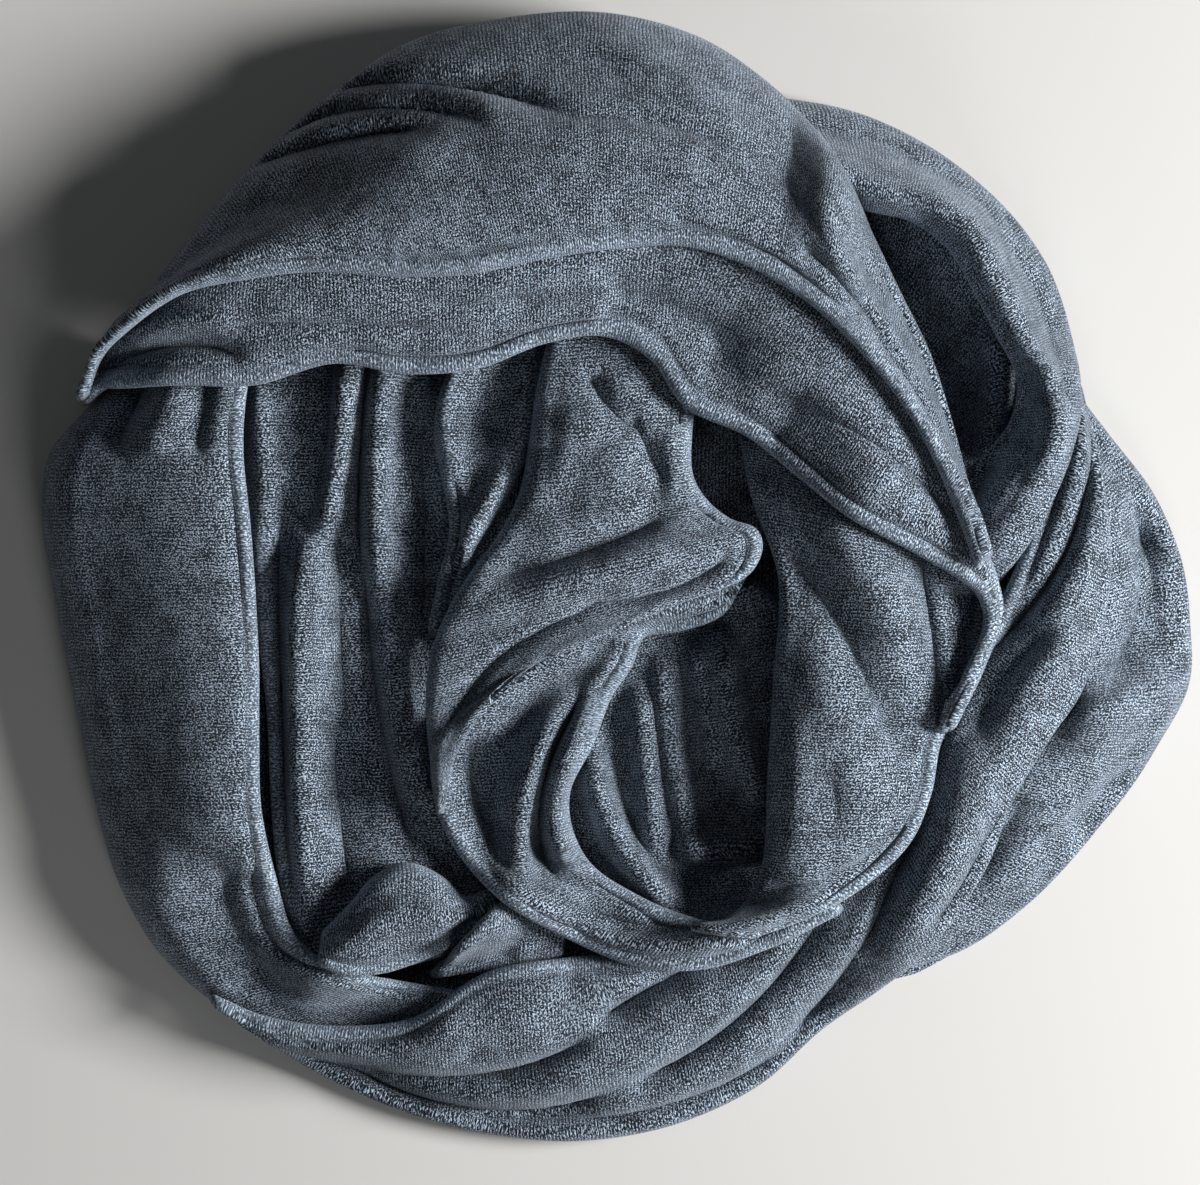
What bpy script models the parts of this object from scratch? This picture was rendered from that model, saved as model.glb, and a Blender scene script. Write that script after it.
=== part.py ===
"""Infinity scarf, heaped on a table.

A wide tube of fine jersey, joined end to end, lies in a loose round heap. Each stretch that shows is a wall of
cloth laid over what lies beneath it, from the lowest to the highest, and the hidden layers in the middle share
one rounded solid whose edge is layered. Metres, +Z up, with the origin at the middle of the underside.
"""

import math
from collections import namedtuple

import bmesh
import bpy
import numpy as np

MM = 0.001

# Driving sizes, in millimetres.
WALL = 1.8  # two flat layers of jersey
GAP = 1.1  # air between stretches that rest on each other
FOOT = 1.7  # height of the line that the lowest hanging edges are drawn to
TUCK = 2.5  # how far a hanging edge turns in at its foot
CELL = 1.5  # a square of the plan grid that the stretches are laid on
REACH = 4.0  # how far round a point that grid is searched for what lies beneath
HALF_PLAN = 190.0  # half the side of that grid
ROLL_ANGLES = (40, 90)  # degrees round a rolled edge, from its outermost line to its top
END_TURN = 2.5  # how far past its last section the cloth goes as it turns down
FOLD_PIECES = 12  # straight pieces that a fold's line is measured along
FOLD_FADE = 0.16  # share of a fold's length over which it dies away at each end
LEAST_FOLD = 3.6  # half width of the narrowest fold that the facets can follow
DEEPEST_FOLD = 6.0  # height of the tallest fold that they can
LAY_ROUNDS = 8  # times a stretch is searched and lifted
CORNERS = ((0, 0), (1, 0), (1, 1), (0, 1))  # of a quad, in steps along and across
FINE = 7  # how finely a quad is searched when it is laid

Section = namedtuple(
    "Section", "left_x left_y left_z left_round right_x right_y right_z right_round crown"
)
Fold = namedtuple("Fold", "x0 y0 x1 y1 x2 y2 height left right")
Stretch = namedtuple("Stretch", "name colour along across left_drop right_drop sections folds")
Hollow = namedtuple("Hollow", "x y wide long turn depth")
Lobe = namedtuple("Lobe", "bearing radius")
Layer = namedtuple("Layer", "height inset")

# The hidden layers, in millimetres and degrees: their outline from above, their layered edge and their hollows.
CORE_OUTLINE = (
    Lobe(0, 155), Lobe(8, 147), Lobe(17, 135), Lobe(24, 133), Lobe(32, 140), Lobe(45, 145), Lobe(58, 142),
    Lobe(70, 136), Lobe(79, 143), Lobe(92, 151), Lobe(107, 155), Lobe(120, 151), Lobe(131, 148),
    Lobe(146, 147), Lobe(156, 153), Lobe(172, 157), Lobe(187, 150), Lobe(201, 152), Lobe(215, 159),
    Lobe(228, 158), Lobe(241, 155), Lobe(254, 154), Lobe(270, 151), Lobe(285, 140), Lobe(294, 132),
    Lobe(299, 139), Lobe(307, 147), Lobe(316, 152), Lobe(326, 155), Lobe(334, 156), Lobe(342, 152),
    Lobe(350, 155),
)
CORE_EDGE = (Layer(0, 3), Layer(2.5, 0.6), Layer(5.5, 0.2), Layer(8, 2.4), Layer(10.5, 1.8), Layer(13, 4.5))
CORE_TOP = 20.0
CORE_SHOULDER = 62.0  # how far in from the edge the hidden layers reach their full height
CORE_RINGS = 7
CORE_SIDES = 32
CORE_CLEAR = 1.5  # allowance for the flat facets between the rings
CORE_HOLLOWS = (
    Hollow(20, -56, 60, 88, 8, 17), Hollow(90, 66, 62, 92, -28, 17), Hollow(147, -8, 20, 34, 0, 12),
    Hollow(-98, -50, 12, 62, 0, 10), Hollow(-66, -112, 34, 14, 8, 12),
)

# The stretches, lowest first. A section gives each edge's place, height and roll, and the rise between them.
STRETCHES = (
    Stretch("left_inner_pleats", (0.06, 0.07, 0.085), 8, 11, 8, 8, (
        Section(-44, 70, 23, 4, -104, 70, 21, 4, 0), Section(-50, 48, 24, 4, -106, 48, 21, 4, 0),
        Section(-48, 26, 24, 4, -106, 26, 20, 4, 0), Section(-47, 4, 24, 4, -104, 4, 19, 4, 0),
        Section(-50, -18, 24, 4, -102, -18, 18, 4, 1), Section(-51, -42, 23, 4, -100, -40, 17, 4, 2),
        Section(-47, -64, 21, 4, -99, -62, 15, 4, 3), Section(-38, -82, 19, 4, -97, -84, 13, 4, 3),
        Section(-31, -92, 15, 4, -92, -104, 9, 4, 2), Section(-34, -102, 11, 4, -84, -116, 6, 4, 1)),
        (Fold(-79, 70, -80.5, 38, -88.5, 6, 10, 7, 1.4),
         Fold(-88.5, 16, -92, -34, -88.5, -112, 12, 9, 1.5),
         Fold(-72.5, 10, -69, -34, -58, -82, -9, 2.2, 2.4),
         Fold(-66, 70, -69, 28, -67, -14, 9, 3.4, 3.4), Fold(-57, 60, -55, 14, -56, -30, -8, 5, 5),
         Fold(-98, 30, -97, -30, -95, -96, -13, 4, 3.5))),
    Stretch("left_stretch", (0.075, 0.085, 0.1), 11, 5, 10, 40, (
        Section(-103, 72, 30, 4, -139, 64, 8, 12, 2), Section(-107, 54, 36, 4, -153.5, 48.5, 7, 20, 1),
        Section(-108, 36, 38, 4, -164.3, 35, 7, 24, 1), Section(-106, 16, 39, 4, -166, 17, 6, 24, 1),
        Section(-104.5, -4, 39, 4, -163, -2, 6, 24, 1),
        Section(-103.5, -25, 39, 4, -159, -24, 6, 24, 1),
        Section(-103.5, -46, 38, 4, -154.5, -46, 6, 24, 1),
        Section(-103, -66, 36, 4, -150.5, -66, 6, 22, 2),
        Section(-99, -86, 31, 4, -144, -88, 6, 20, 1), Section(-94, -102, 24, 4, -134, -106, 6, 18, 0),
        Section(-82, -112, 19, 4, -120, -120, 6, 16, -2),
        Section(-64, -117, 16, 4, -101, -132, 5, 13, -2),
        Section(-46, -120, 13, 4, -78, -138, 5, 8, -1)),
        (Fold(-108, -76, -110, -98, -86, -120, -8, 12, 10),
         Fold(-152, 44, -158, 20, -156, -8, 2, 12, 9),
         Fold(-132, -70, -128, -100, -104, -124, 2.5, 7, 7))),
    Stretch("inner_pocket", (0.07, 0.08, 0.095), 6, 5, 6, 6, (
        Section(-20, 72, 34, 3, -41, 70, 34, 3, -2), Section(-23, 56, 34, 3, -49, 55, 35, 3, -4),
        Section(-25, 42, 36, 3, -51.5, 42, 35, 3, -5), Section(-31, 26, 38, 3, -49.5, 30, 35, 3, -2),
        Section(-40, 10, 39, 3, -47, 14, 36, 3, 1), Section(-44, -2, 38, 3, -50, 0, 36, 3, 1),
        Section(-49, -16, 36, 3, -53, -14, 34, 3, 0)),
        (Fold(-28, 32, -38, 18, -48, -4, 3, 4, 4),)),
    Stretch("lower_left_curl", (0.07, 0.08, 0.095), 6, 5, 10, 10, (
        Section(-83, -101, 22, 4, -84, -110, 20, 3, 0), Section(-76, -94, 24, 6, -78, -112, 21, 4, 3),
        Section(-69, -86, 26, 7, -68, -112, 22, 4, 5), Section(-60, -82.5, 27, 7, -58, -109, 23, 4, 6),
        Section(-51, -86, 27, 7, -49, -105, 24, 4, 5), Section(-44, -92, 26, 4, -41, -100, 24, 4, 2),
        Section(-37, -90, 25, 3, -34, -98, 24, 3, 1)),
        (Fold(-80, -108, -62, -105, -44, -97, 2.5, 2, 3),)),
    Stretch("curl_tails", (0.11, 0.125, 0.15), 4, 5, 5, 5, (
        Section(-42, -102, 21, 3, -52, -114, 15, 3, 0), Section(-34, -94, 23, 3, -38, -112, 19, 3, 0),
        Section(-25, -90, 25, 3, -28, -111, 20, 3, 0), Section(-16, -92, 25, 3, -17, -108, 20, 3, 0)),
        (Fold(-24, -92, -33, -101, -43, -109, 3.5, 3, 3),)),
    Stretch("hood_lining", (0.055, 0.06, 0.07), 6, 5, 3, 3, (
        Section(60, 118, 16, 3, 66, 92, 14, 3, 0), Section(84, 112, 8, 3, 74, 78, 7, 3, -2),
        Section(104, 98, 6, 3, 80, 62, 5, 3, -2), Section(119, 78, 9, 3, 86, 48, 5, 3, -2),
        Section(124, 56, 14, 3, 92, 36, 5, 3, -4), Section(119, 36, 22, 3, 98, 24, 13, 3, 0)),
        (Fold(80, 92, 90, 68, 98, 34, 5, 4, 5), Fold(106, 74, 109, 54, 103, 32, 8, 5, 2.5))),
    Stretch("far_right_stretch", (0.13, 0.15, 0.175), 9, 6, 40, 4, (
        Section(129, 58, 7, 8, 120, 42, 16, 4, 2), Section(143, 40, 6, 10, 128, 26, 18, 4, 3),
        Section(155, 24, 6, 12, 131, 10, 20, 4, 4), Section(163, 5, 6, 13, 130, -8, 20, 4, 5),
        Section(165.5, -14, 6, 13, 127, -22, 20, 4, 6), Section(165, -31, 6, 13, 121, -35, 20, 4, 7),
        Section(156, -48, 7, 12, 112, -45, 21, 4, 7), Section(146, -63, 9, 9, 102, -55, 22, 4, 6),
        Section(132, -79, 9, 8, 92, -68, 21, 4, 5), Section(117, -94, 9, 7, 80, -80, 19, 4, 5),
        Section(100, -106, 9, 6, 68, -92, 17, 4, 4), Section(82, -112, 8, 6, 56, -102, 14, 4, 2)),
        (Fold(146, 26, 150, -6, 136, -36, -15, 10, 9), Fold(163, -31, 146, -35, 124, -43, 6, 12, 4),
         Fold(118, -60, 108, -76, 92, -96, -5, 5, 7))),
    Stretch("front_right_stretch", (0.125, 0.145, 0.17), 15, 10, 8, 40, (
        Section(-106, -125, 9, 3, -104, -132, 5, 3, 0), Section(-80, -130, 17, 4, -83, -145, 5, 7, 1),
        Section(-58, -127, 22, 4, -58, -155.5, 5, 12, 2),
        Section(-37, -114, 26, 4, -34, -161, 5, 15, 3),
        Section(-14, -110, 27, 4, -10, -162.5, 5, 16, 4), Section(10, -109, 27, 4, 16, -158, 5, 16, 4),
        Section(32, -105, 28, 4, 40, -147, 5, 15, 4), Section(50, -96, 30, 4, 58, -131, 6, 13, 4),
        Section(66, -85, 31, 4, 75, -118, 10, 10, 4), Section(78, -72, 33, 4, 91, -102, 18, 6, 4),
        Section(86, -57, 34, 4, 104, -83, 24, 5, 4), Section(92, -42, 34, 4, 112, -63, 27, 5, 4),
        Section(99, -29, 34, 4, 122, -46, 29, 5, 4), Section(107, -14, 34, 4, 133, -29, 29, 5, 4),
        Section(115, 3, 33, 4, 139.5, -6, 28, 5, 4), Section(122, 22, 29, 4, 140, 13, 25, 5, 3),
        Section(128, 42, 25, 4, 137, 35, 21, 4, 2), Section(129, 60, 18, 4, 133, 54, 14, 4, 1)),
        (Fold(-96, -133, -45, -143, -2, -127, -12, 2.2, 5),
         Fold(-8, -129, 12, -116, 48, -102, -11, 2.2, 5),
         Fold(-96, -134, -40, -153.5, 6, -143, -12, 2.2, 4.5),
         Fold(-4, -147, 32, -128, 62, -91, -12, 2.2, 5), Fold(-62, -157, 10, -153, 54, -129, -9, 2, 4),
         Fold(44, -135, 68, -108, 90, -58, -11, 2.2, 5), Fold(134, 46, 128, 6, 98, -28, -10, 2.6, 3),
         Fold(98, -46, 95, -76, 72, -112, 3.5, 6, 6))),
    Stretch("outer_right_loop", (0.1, 0.115, 0.135), 11, 5, 40, 34, (
        Section(28, 140, 8, 12, 44, 104, 26, 5, 2), Section(52, 138, 6, 16, 60, 110, 32, 5, 4),
        Section(72, 133.5, 6, 16, 72, 106, 34, 4, 5), Section(92, 123.5, 6, 16, 84, 103, 36, 4, 6),
        Section(110, 109, 6, 16, 95, 95, 37, 4, 7), Section(122, 94, 6, 14, 103, 82, 37, 4, 7),
        Section(128.5, 79, 7, 14, 109, 70, 37, 4, 7), Section(131, 62, 12, 11, 115, 58, 36, 4, 6),
        Section(131, 48, 18, 8, 114, 46, 33, 4, 5), Section(128.5, 37, 22, 5, 108, 37, 29, 4, 4),
        Section(125, 27, 24, 4, 100, 29, 25, 4, 4), Section(118, 13, 24, 4, 94, 20, 23, 4, 3),
        Section(107, -3, 22, 4, 88, 8, 21, 4, 3)),
        (Fold(54, 128, 66, 113, 92, 104, 4, 4, 3), Fold(62, 131, 98, 121, 118, 88, -3, 9, 9),
         Fold(126, 54, 122, 34, 100, 12, 4, 4, 6), Fold(84, 110, 100, 104, 110, 84, 3, 5, 6))),
    Stretch("centre_hollow", (0.06, 0.068, 0.08), 6, 6, 2, 2, (
        Section(40, -2, 16, 3, -2, -12, 16, 3, -6), Section(54, -18, 12, 3, -8, -28, 11, 3, -5),
        Section(57, -36, 9, 3, -14, -46, 9, 3, -4), Section(56, -56, 8, 3, -19, -62, 8, 3, -3),
        Section(52, -76, 8, 3, -17, -77, 8, 3, -3), Section(44, -92, 12, 3, -6, -92, 12, 3, -2),
        Section(34, -103, 15, 3, 10, -103, 15, 3, 0)),
        (Fold(-9, -40, 0, -74, 22, -98, 13, 3, 4), Fold(6, -24, 9, -56, 13, -88, 9, 3, 4),
         Fold(13, -18, 15, -48, 24, -84, 8, 3.5, 3), Fold(30, -10, 33, -40, 45, -74, 9, 4, 5))),
    Stretch("inner_loop", (0.115, 0.13, 0.155), 13, 5, 12, 10, (
        Section(36, 4, 34, 3, 42, 12, 34, 3, 0), Section(30, -9, 34, 3, 34, 0, 35, 3, 0),
        Section(18, -14, 33, 3, 18, -6, 36, 3, 0), Section(7, -16, 31, 3, -2, -10, 36, 3, 0),
        Section(3, -25, 29, 3, -21, -20, 37, 3, -2), Section(-3, -34, 27, 3, -39, -33, 37, 3, -6),
        Section(-8, -47, 26, 3, -51, -47, 37, 3, -9),
        Section(-14.5, -60, 25, 3, -51.5, -62, 37, 3, -10),
        Section(-14, -72, 25, 3, -46, -76, 36, 3, -8), Section(-8, -83, 26, 3, -34, -89.5, 35, 3, -4),
        Section(4, -91, 27, 3, -16, -101, 33, 3, -1), Section(18, -97, 29, 3, 4, -109.5, 32, 3, 0),
        Section(30, -99, 31, 3, 24, -110.5, 31, 3, 0), Section(43, -96, 34, 3, 44, -104, 31, 3, 0),
        Section(58, -90, 36, 3, 62, -95, 32, 3, 0)),
        (Fold(-10, -28, -26, -62, -24, -93, 11, 1.8, 5),)),
    Stretch("rosette", (0.105, 0.12, 0.145), 11, 6, 9, 6, (
        Section(24, 70, 38, 3, -18, 72, 36, 3, 2), Section(22, 56, 42, 3, -22, 54, 38, 4, 4),
        Section(20, 42, 45, 3, -24, 40, 40, 5, 5), Section(20, 30, 46, 3, -27, 24, 41, 5, 5),
        Section(24, 22, 46, 3, -33, 12, 42, 5, 4), Section(31, 16, 48, 3, -41, 1, 42, 5, 3),
        Section(38.5, 13, 49, 3, -47, -9, 42, 4, 3), Section(39.5, 7, 49, 3, -51, -18, 42, 4, 3),
        Section(34.5, 0.5, 49, 3, -53, -27, 42, 4, 3), Section(20, -5, 49, 3, -53.5, -35, 42, 4, 3),
        Section(4, -8.5, 49, 3, -53.3, -42, 42, 4, 2),
        Section(-12, -13.5, 48, 3, -52.6, -48.5, 42, 4, 2),
        Section(-26, -21.5, 47, 3, -52, -54, 41, 4, 1), Section(-38, -31, 45, 3, -51.3, -59, 40, 3, 0),
        Section(-46, -42, 42, 3, -50.8, -63, 38, 3, 0),
        Section(-48.5, -52, 38, 2.5, -50.6, -66, 36, 2.5, 0)),
        (Fold(-40, -1, -14, 5, 17, 19, -8, 4, 3), Fold(-46, -12, -16, -3, 26, 11, 3, 5, 4),
         Fold(-14, -6, 12, -4, 33, 8, -5, 2.5, 2.5), Fold(-12, 50, -16, 34, -30, 12, 3, 5, 7))),
    Stretch("centre_panel", (0.13, 0.15, 0.175), 9, 6, 7, 16, (
        Section(95, 26, 35, 4, 36, 40, 36, 4, 3), Section(101, 8, 36, 4, 39, 24, 40, 5, 5),
        Section(104, -5, 37, 4, 46, 4, 43, 6, 5), Section(103, -17, 38, 4, 47, -10, 44, 6, 6),
        Section(98, -32, 38, 4, 45.5, -26, 44, 6, 6), Section(91, -46, 38, 4, 44.5, -43, 44, 6, 6),
        Section(88, -61, 38, 4, 43.5, -60, 43, 6, 6), Section(82, -75, 37, 4, 43, -76, 42, 6, 5),
        Section(69, -87, 36, 4, 40, -89, 41, 5, 4), Section(53, -95.5, 35, 4, 32, -97, 38, 4, 2),
        Section(38, -101, 33, 3, 22, -99, 34, 3, 1)),
        (Fold(46, 12, 64, -16, 80, -60, -7, 8, 7), Fold(86, 14, 88, -10, 93, -40, -6, 1.8, 4),
         Fold(54, 22, 72, 0, 86, -30, 4, 7, 7))),
    Stretch("crown_lip", (0.12, 0.138, 0.165), 15, 5, 4, 6, (
        Section(-149, 64, 20, 3, -151.5, 53, 16, 3, 0), Section(-138, 74, 34, 3, -143, 55.5, 30, 3, 0),
        Section(-122, 82, 46, 3, -124, 56, 40, 3, 0), Section(-102, 88, 53, 3, -103, 56, 45, 3, 1),
        Section(-82, 90, 57, 3, -81, 62, 47, 3, 2), Section(-60, 89, 59, 3, -60, 59, 48, 3, 2),
        Section(-40, 90, 61, 3, -40, 60.5, 49, 3, 2), Section(-20, 94, 62, 3, -21, 67.5, 50, 3, 2),
        Section(-2, 97, 62, 3, -4, 69.5, 51, 3, 1), Section(18, 96, 62, 3, 10, 62.5, 51, 3, -2),
        Section(38, 90, 61, 3, 20, 49, 51, 3, -3), Section(56, 78, 60, 3, 37, 41, 51, 3, 0),
        Section(70, 64, 58, 3, 52, 29, 50, 3, 3), Section(82, 48, 55, 3, 66, 17.5, 48, 3, 4),
        Section(93, 30, 51, 3, 84, 8, 46, 3, 4), Section(101, 13, 46, 3, 97, 0.5, 42, 3, 2),
        Section(107, -1, 42, 2.5, 103, -5, 40, 2.5, 0),
        Section(108.5, -11, 41, 2.5, 104.5, -14, 39, 2.5, 0),
        Section(103, -25, 41, 2.5, 99, -27, 39, 2.5, 0), Section(95, -41, 41, 2, 92, -42, 39, 2, 0)),
        (Fold(-150, 57, -128, 66, -103, 62, -10, 4, 3.5), Fold(-8, 84, 14, 78, 40, 62, -4, 12, 12),
         Fold(38, 54, 72, 37, 103, 4, -4, 3, 6))),
    Stretch("crown_stretch", (0.115, 0.13, 0.155), 15, 7, 60, 5, (
        Section(-154, 53, 8, 3, -149.5, 61, 22, 3, 0), Section(-150, 67, 8, 16, -141, 70.5, 36, 3, 2),
        Section(-137, 80, 12, 24, -124, 81, 48, 3, 3), Section(-121, 100, 16, 30, -105, 85, 55, 3, 3),
        Section(-104, 119, 20, 30, -84, 87, 60, 3, 3), Section(-84, 137, 22, 31, -62, 85.5, 62, 3, 4),
        Section(-60, 153, 23, 31, -42, 86, 64, 3, 5), Section(-32, 160, 24, 31, -22, 90, 66, 3, 6),
        Section(-4, 161.5, 24, 31, -2, 93, 66, 3, 6), Section(22, 155, 24, 31, 17, 94, 66, 3, 5),
        Section(42, 142, 25, 30, 35, 89, 65, 3, 4), Section(56, 127, 27, 28, 51, 80, 63, 3, 4),
        Section(68, 106, 31, 23, 63, 70, 61, 3, 4), Section(79, 83, 34, 18, 74, 58, 59, 3, 3),
        Section(88, 64, 37, 12, 83, 46, 56, 3, 2), Section(94, 45, 40, 6, 90, 33, 52, 3, 2),
        Section(99, 26, 40, 5, 96, 19, 48, 3, 1), Section(104, 8, 40, 3, 101, 5, 44, 3, 0)),
        (Fold(-88, 137.5, -52, 140, -8, 127.5, -10, 2.6, 3.4),
         Fold(-106, 120, -74, 133, -32, 127, -10, 2.4, 2.8),
         Fold(-109, 114.5, -80, 124, -48, 126, -10, 2.4, 2.8),
         Fold(-112, 106, -80, 117, -36, 119, 4, 6, 9), Fold(-14, 156, 34, 126, 70, 88, 4.5, 6, 8),
         Fold(-128, 84, -90, 100, -40, 100, 2.5, 10, 8))),
)


def smooth_rows(rows, places):
    """The rows of a table read at any places between them, on a curve that passes through each row."""
    table = np.array(rows, float)
    table = np.vstack([2 * table[0] - table[1], table, 2 * table[-1] - table[-2]])
    places = np.clip(np.asarray(places, float), 0, len(rows) - 1)
    start = np.minimum(places.astype(int), len(rows) - 2)
    t = (places - start)[:, None]
    before, first, second, after = (table[start + k] for k in range(4))
    return 0.5 * (
        2 * first
        + (second - before) * t
        + (2 * before - 5 * first + 4 * second - after) * t**2
        + (3 * first - before - 3 * second + after) * t**3
    )


def across_profile(row, count, left_drop, right_drop):
    """One section of a stretch: how far across each point is, and how high."""
    width = math.hypot(row.right_x - row.left_x, row.right_y - row.left_y)
    points = []
    for side, height, roll, drop in (
        (0, row.left_z, row.left_round, left_drop),
        (1, row.right_z, row.right_round, right_drop),
    ):
        flat = min(roll, 0.45 * width)
        tuck = min(TUCK, 0.3 * width)
        edge = [(tuck, height - drop), (0, height)]
        for angle in ROLL_ANGLES:
            turn = math.radians(angle)
            edge.append((flat * (1 - math.cos(turn)), height + roll * math.sin(turn)))
        points.append([(width - q, z) for q, z in reversed(edge)] if side else edge)
    (q0, z0), (q1, z1) = points[0][-1], points[1][0]
    for step in range(1, count):
        w = step / count
        ease = w * w * (3 - 2 * w)
        points[0].append((q0 + (q1 - q0) * w, z0 + (z1 - z0) * ease + row.crown * math.sin(math.pi * w) ** 1.2))
    return points[0] + points[1]


def fold_rise(fold, x, y):
    """How far a fold lifts or sinks the cloth at each plan point."""
    t = np.linspace(0, 1, FOLD_PIECES + 1)
    spread = (2 * t**2 - 3 * t + 1, 4 * t - 4 * t**2, 2 * t**2 - t)
    line_x = spread[0] * fold.x0 + spread[1] * fold.x1 + spread[2] * fold.x2
    line_y = spread[0] * fold.y0 + spread[1] * fold.y1 + spread[2] * fold.y2
    best = np.full(x.shape, np.inf)
    side = np.zeros(x.shape)
    place = np.zeros(x.shape)
    for k in range(FOLD_PIECES):
        dx, dy = line_x[k + 1] - line_x[k], line_y[k + 1] - line_y[k]
        along = ((x - line_x[k]) * dx + (y - line_y[k]) * dy) / (dx * dx + dy * dy)
        clipped = np.clip(along, 0, 1)
        off_x, off_y = x - line_x[k] - clipped * dx, y - line_y[k] - clipped * dy
        distance = np.hypot(off_x, off_y)
        closer = distance < best
        best = np.where(closer, distance, best)
        side = np.where(closer, np.sign(dx * off_y - dy * off_x), side)
        place = np.where(closer, (k + clipped) / FOLD_PIECES, place)
    wide = np.maximum(np.where(side > 0, fold.left, fold.right), LEAST_FOLD)
    fade = np.clip(np.minimum(place, 1 - place) / FOLD_FADE, 0, 1)
    height = np.clip(fold.height, -DEEPEST_FOLD, DEEPEST_FOLD)
    return height * np.exp(-((best / wide) ** 2)) * fade * fade * (3 - 2 * fade)


def form_of(stretch):
    """The grid of points of a stretch before it is laid, in millimetres: along it, then across it."""
    places = np.linspace(0, len(stretch.sections) - 1, stretch.along)
    rows = [Section(*row) for row in smooth_rows(stretch.sections, places)]
    grid = []
    for row in rows:
        profile = across_profile(row, stretch.across, stretch.left_drop, stretch.right_drop)
        width = math.hypot(row.right_x - row.left_x, row.right_y - row.left_y)
        step_x, step_y = (row.right_x - row.left_x) / width, (row.right_y - row.left_y) / width
        grid.append([(row.left_x + q * step_x, row.left_y + q * step_y, z) for q, z in profile])
    grid = np.array(grid)
    top = slice(2, grid.shape[1] - 2)
    for fold in stretch.folds:
        grid[:, top, 2] += fold_rise(fold, grid[:, top, 0], grid[:, top, 1])
    ends = []
    for end, inner in ((0, 1), (-1, -2)):
        out = grid[end, :, :2] - grid[inner, :, :2]
        out *= END_TURN / np.maximum(np.hypot(out[:, :1], out[:, 1:]), END_TURN)
        ends.append(np.column_stack([grid[end, :, :2] + out, np.full(grid.shape[1], FOOT)])[None])
    return np.concatenate([ends[0], grid, ends[1]])


class Pile:
    """The top of everything laid so far, on a square plan grid."""

    def __init__(self):
        self.count = int(2 * HALF_PLAN / CELL)
        self.top = np.zeros((self.count, self.count))

    def cells(self, x, y):
        return [np.clip(((v + HALF_PLAN) / CELL).astype(int), 0, self.count - 1) for v in (x, y)]

    def add(self, x, y, z):
        np.maximum.at(self.top, tuple(self.cells(x, y)), z)

    def floor(self, x, y):
        steps = int(math.ceil(REACH / CELL))
        i, j = self.cells(x, y)
        highest = np.zeros(x.shape)
        for a in range(-steps, steps + 1):
            for b in range(-steps, steps + 1):
                if math.hypot(a, b) * CELL <= REACH:
                    near = self.top[
                        np.clip(i + a, 0, self.count - 1), np.clip(j + b, 0, self.count - 1)
                    ]
                    highest = np.maximum(highest, near)
        return highest


def corner_weights():
    """How much each corner of a quad counts at points spread over it: a row for each corner."""
    u, v = np.meshgrid(np.linspace(0, 1, FINE), np.linspace(0, 1, FINE), indexing="ij")
    u, v = u.ravel(), v.ravel()
    return np.array([(1 - u) * (1 - v), u * (1 - v), u * v, (1 - u) * v])


def quad_samples(grid):
    """Points spread over every quad, with the lowest and highest that either way of halving it gives."""
    u, v = np.meshgrid(np.linspace(0, 1, FINE), np.linspace(0, 1, FINE), indexing="ij")
    u, v = u.ravel()[None, :, None], v.ravel()[None, :, None]
    a, b, c, d = (grid[i:, j:][:grid.shape[0] - 1, :grid.shape[1] - 1].reshape(-1, 1, 3) for i, j in CORNERS)
    one_way = np.where(u >= v, a + u * (b - a) + v * (c - b), a + v * (d - a) + u * (c - d))
    other = np.where(u + v <= 1, a + u * (b - a) + v * (d - a), c + (1 - u) * (d - c) + (1 - v) * (b - c))
    return one_way, np.minimum(one_way[..., 2], other[..., 2]), np.maximum(one_way[..., 2], other[..., 2])


def lay(grid, pile):
    """The stretch lifted, where it must be, clear of what it lies on."""
    rests = pile.floor(grid[..., 0], grid[..., 1])
    grid[..., 2] = np.maximum(grid[..., 2], np.where(rests > 0, rests + GAP, FOOT))
    weights = corner_weights()
    share = weights / (weights**2).sum(axis=0)
    quads = (grid.shape[0] - 1, grid.shape[1] - 1)
    for _ in range(LAY_ROUNDS):
        points, low, _ = quad_samples(grid)
        rests = pile.floor(points[..., 0], points[..., 1])
        short = np.maximum(np.where(rests > 0, rests + GAP, FOOT) - low, 0)
        lift = np.zeros(grid.shape[:2])
        for (i, j), corner in zip(CORNERS, share):
            need = (short * corner).max(axis=1).reshape(quads)
            part = lift[i:i + quads[0], j:j + quads[1]]
            np.maximum(part, need, out=part)
        grid[..., 2] += lift
    points, _, high = quad_samples(grid)
    pile.add(points[..., 0].ravel(), points[..., 1].ravel(), high.ravel() + 1.25 * WALL)
    return grid


def cloth_material(name, colour):
    material = bpy.data.materials.new(name + "_jersey")
    material.use_nodes = True
    shader = material.node_tree.nodes["Principled BSDF"]
    shader.inputs["Base Color"].default_value = (*colour, 1.0)
    shader.inputs["Roughness"].default_value = 0.92
    shader.inputs["Metallic"].default_value = 0.0
    return material


def new_object(name, points, faces, colour, collection):
    mesh = bpy.data.meshes.new(name)
    mesh.from_pydata([tuple(MM * v for v in point) for point in points], [], faces)
    mesh.shade_smooth()
    mesh.materials.append(cloth_material(name, colour))
    piece = bpy.data.objects.new(name, mesh)
    collection.objects.link(piece)
    return piece


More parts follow.
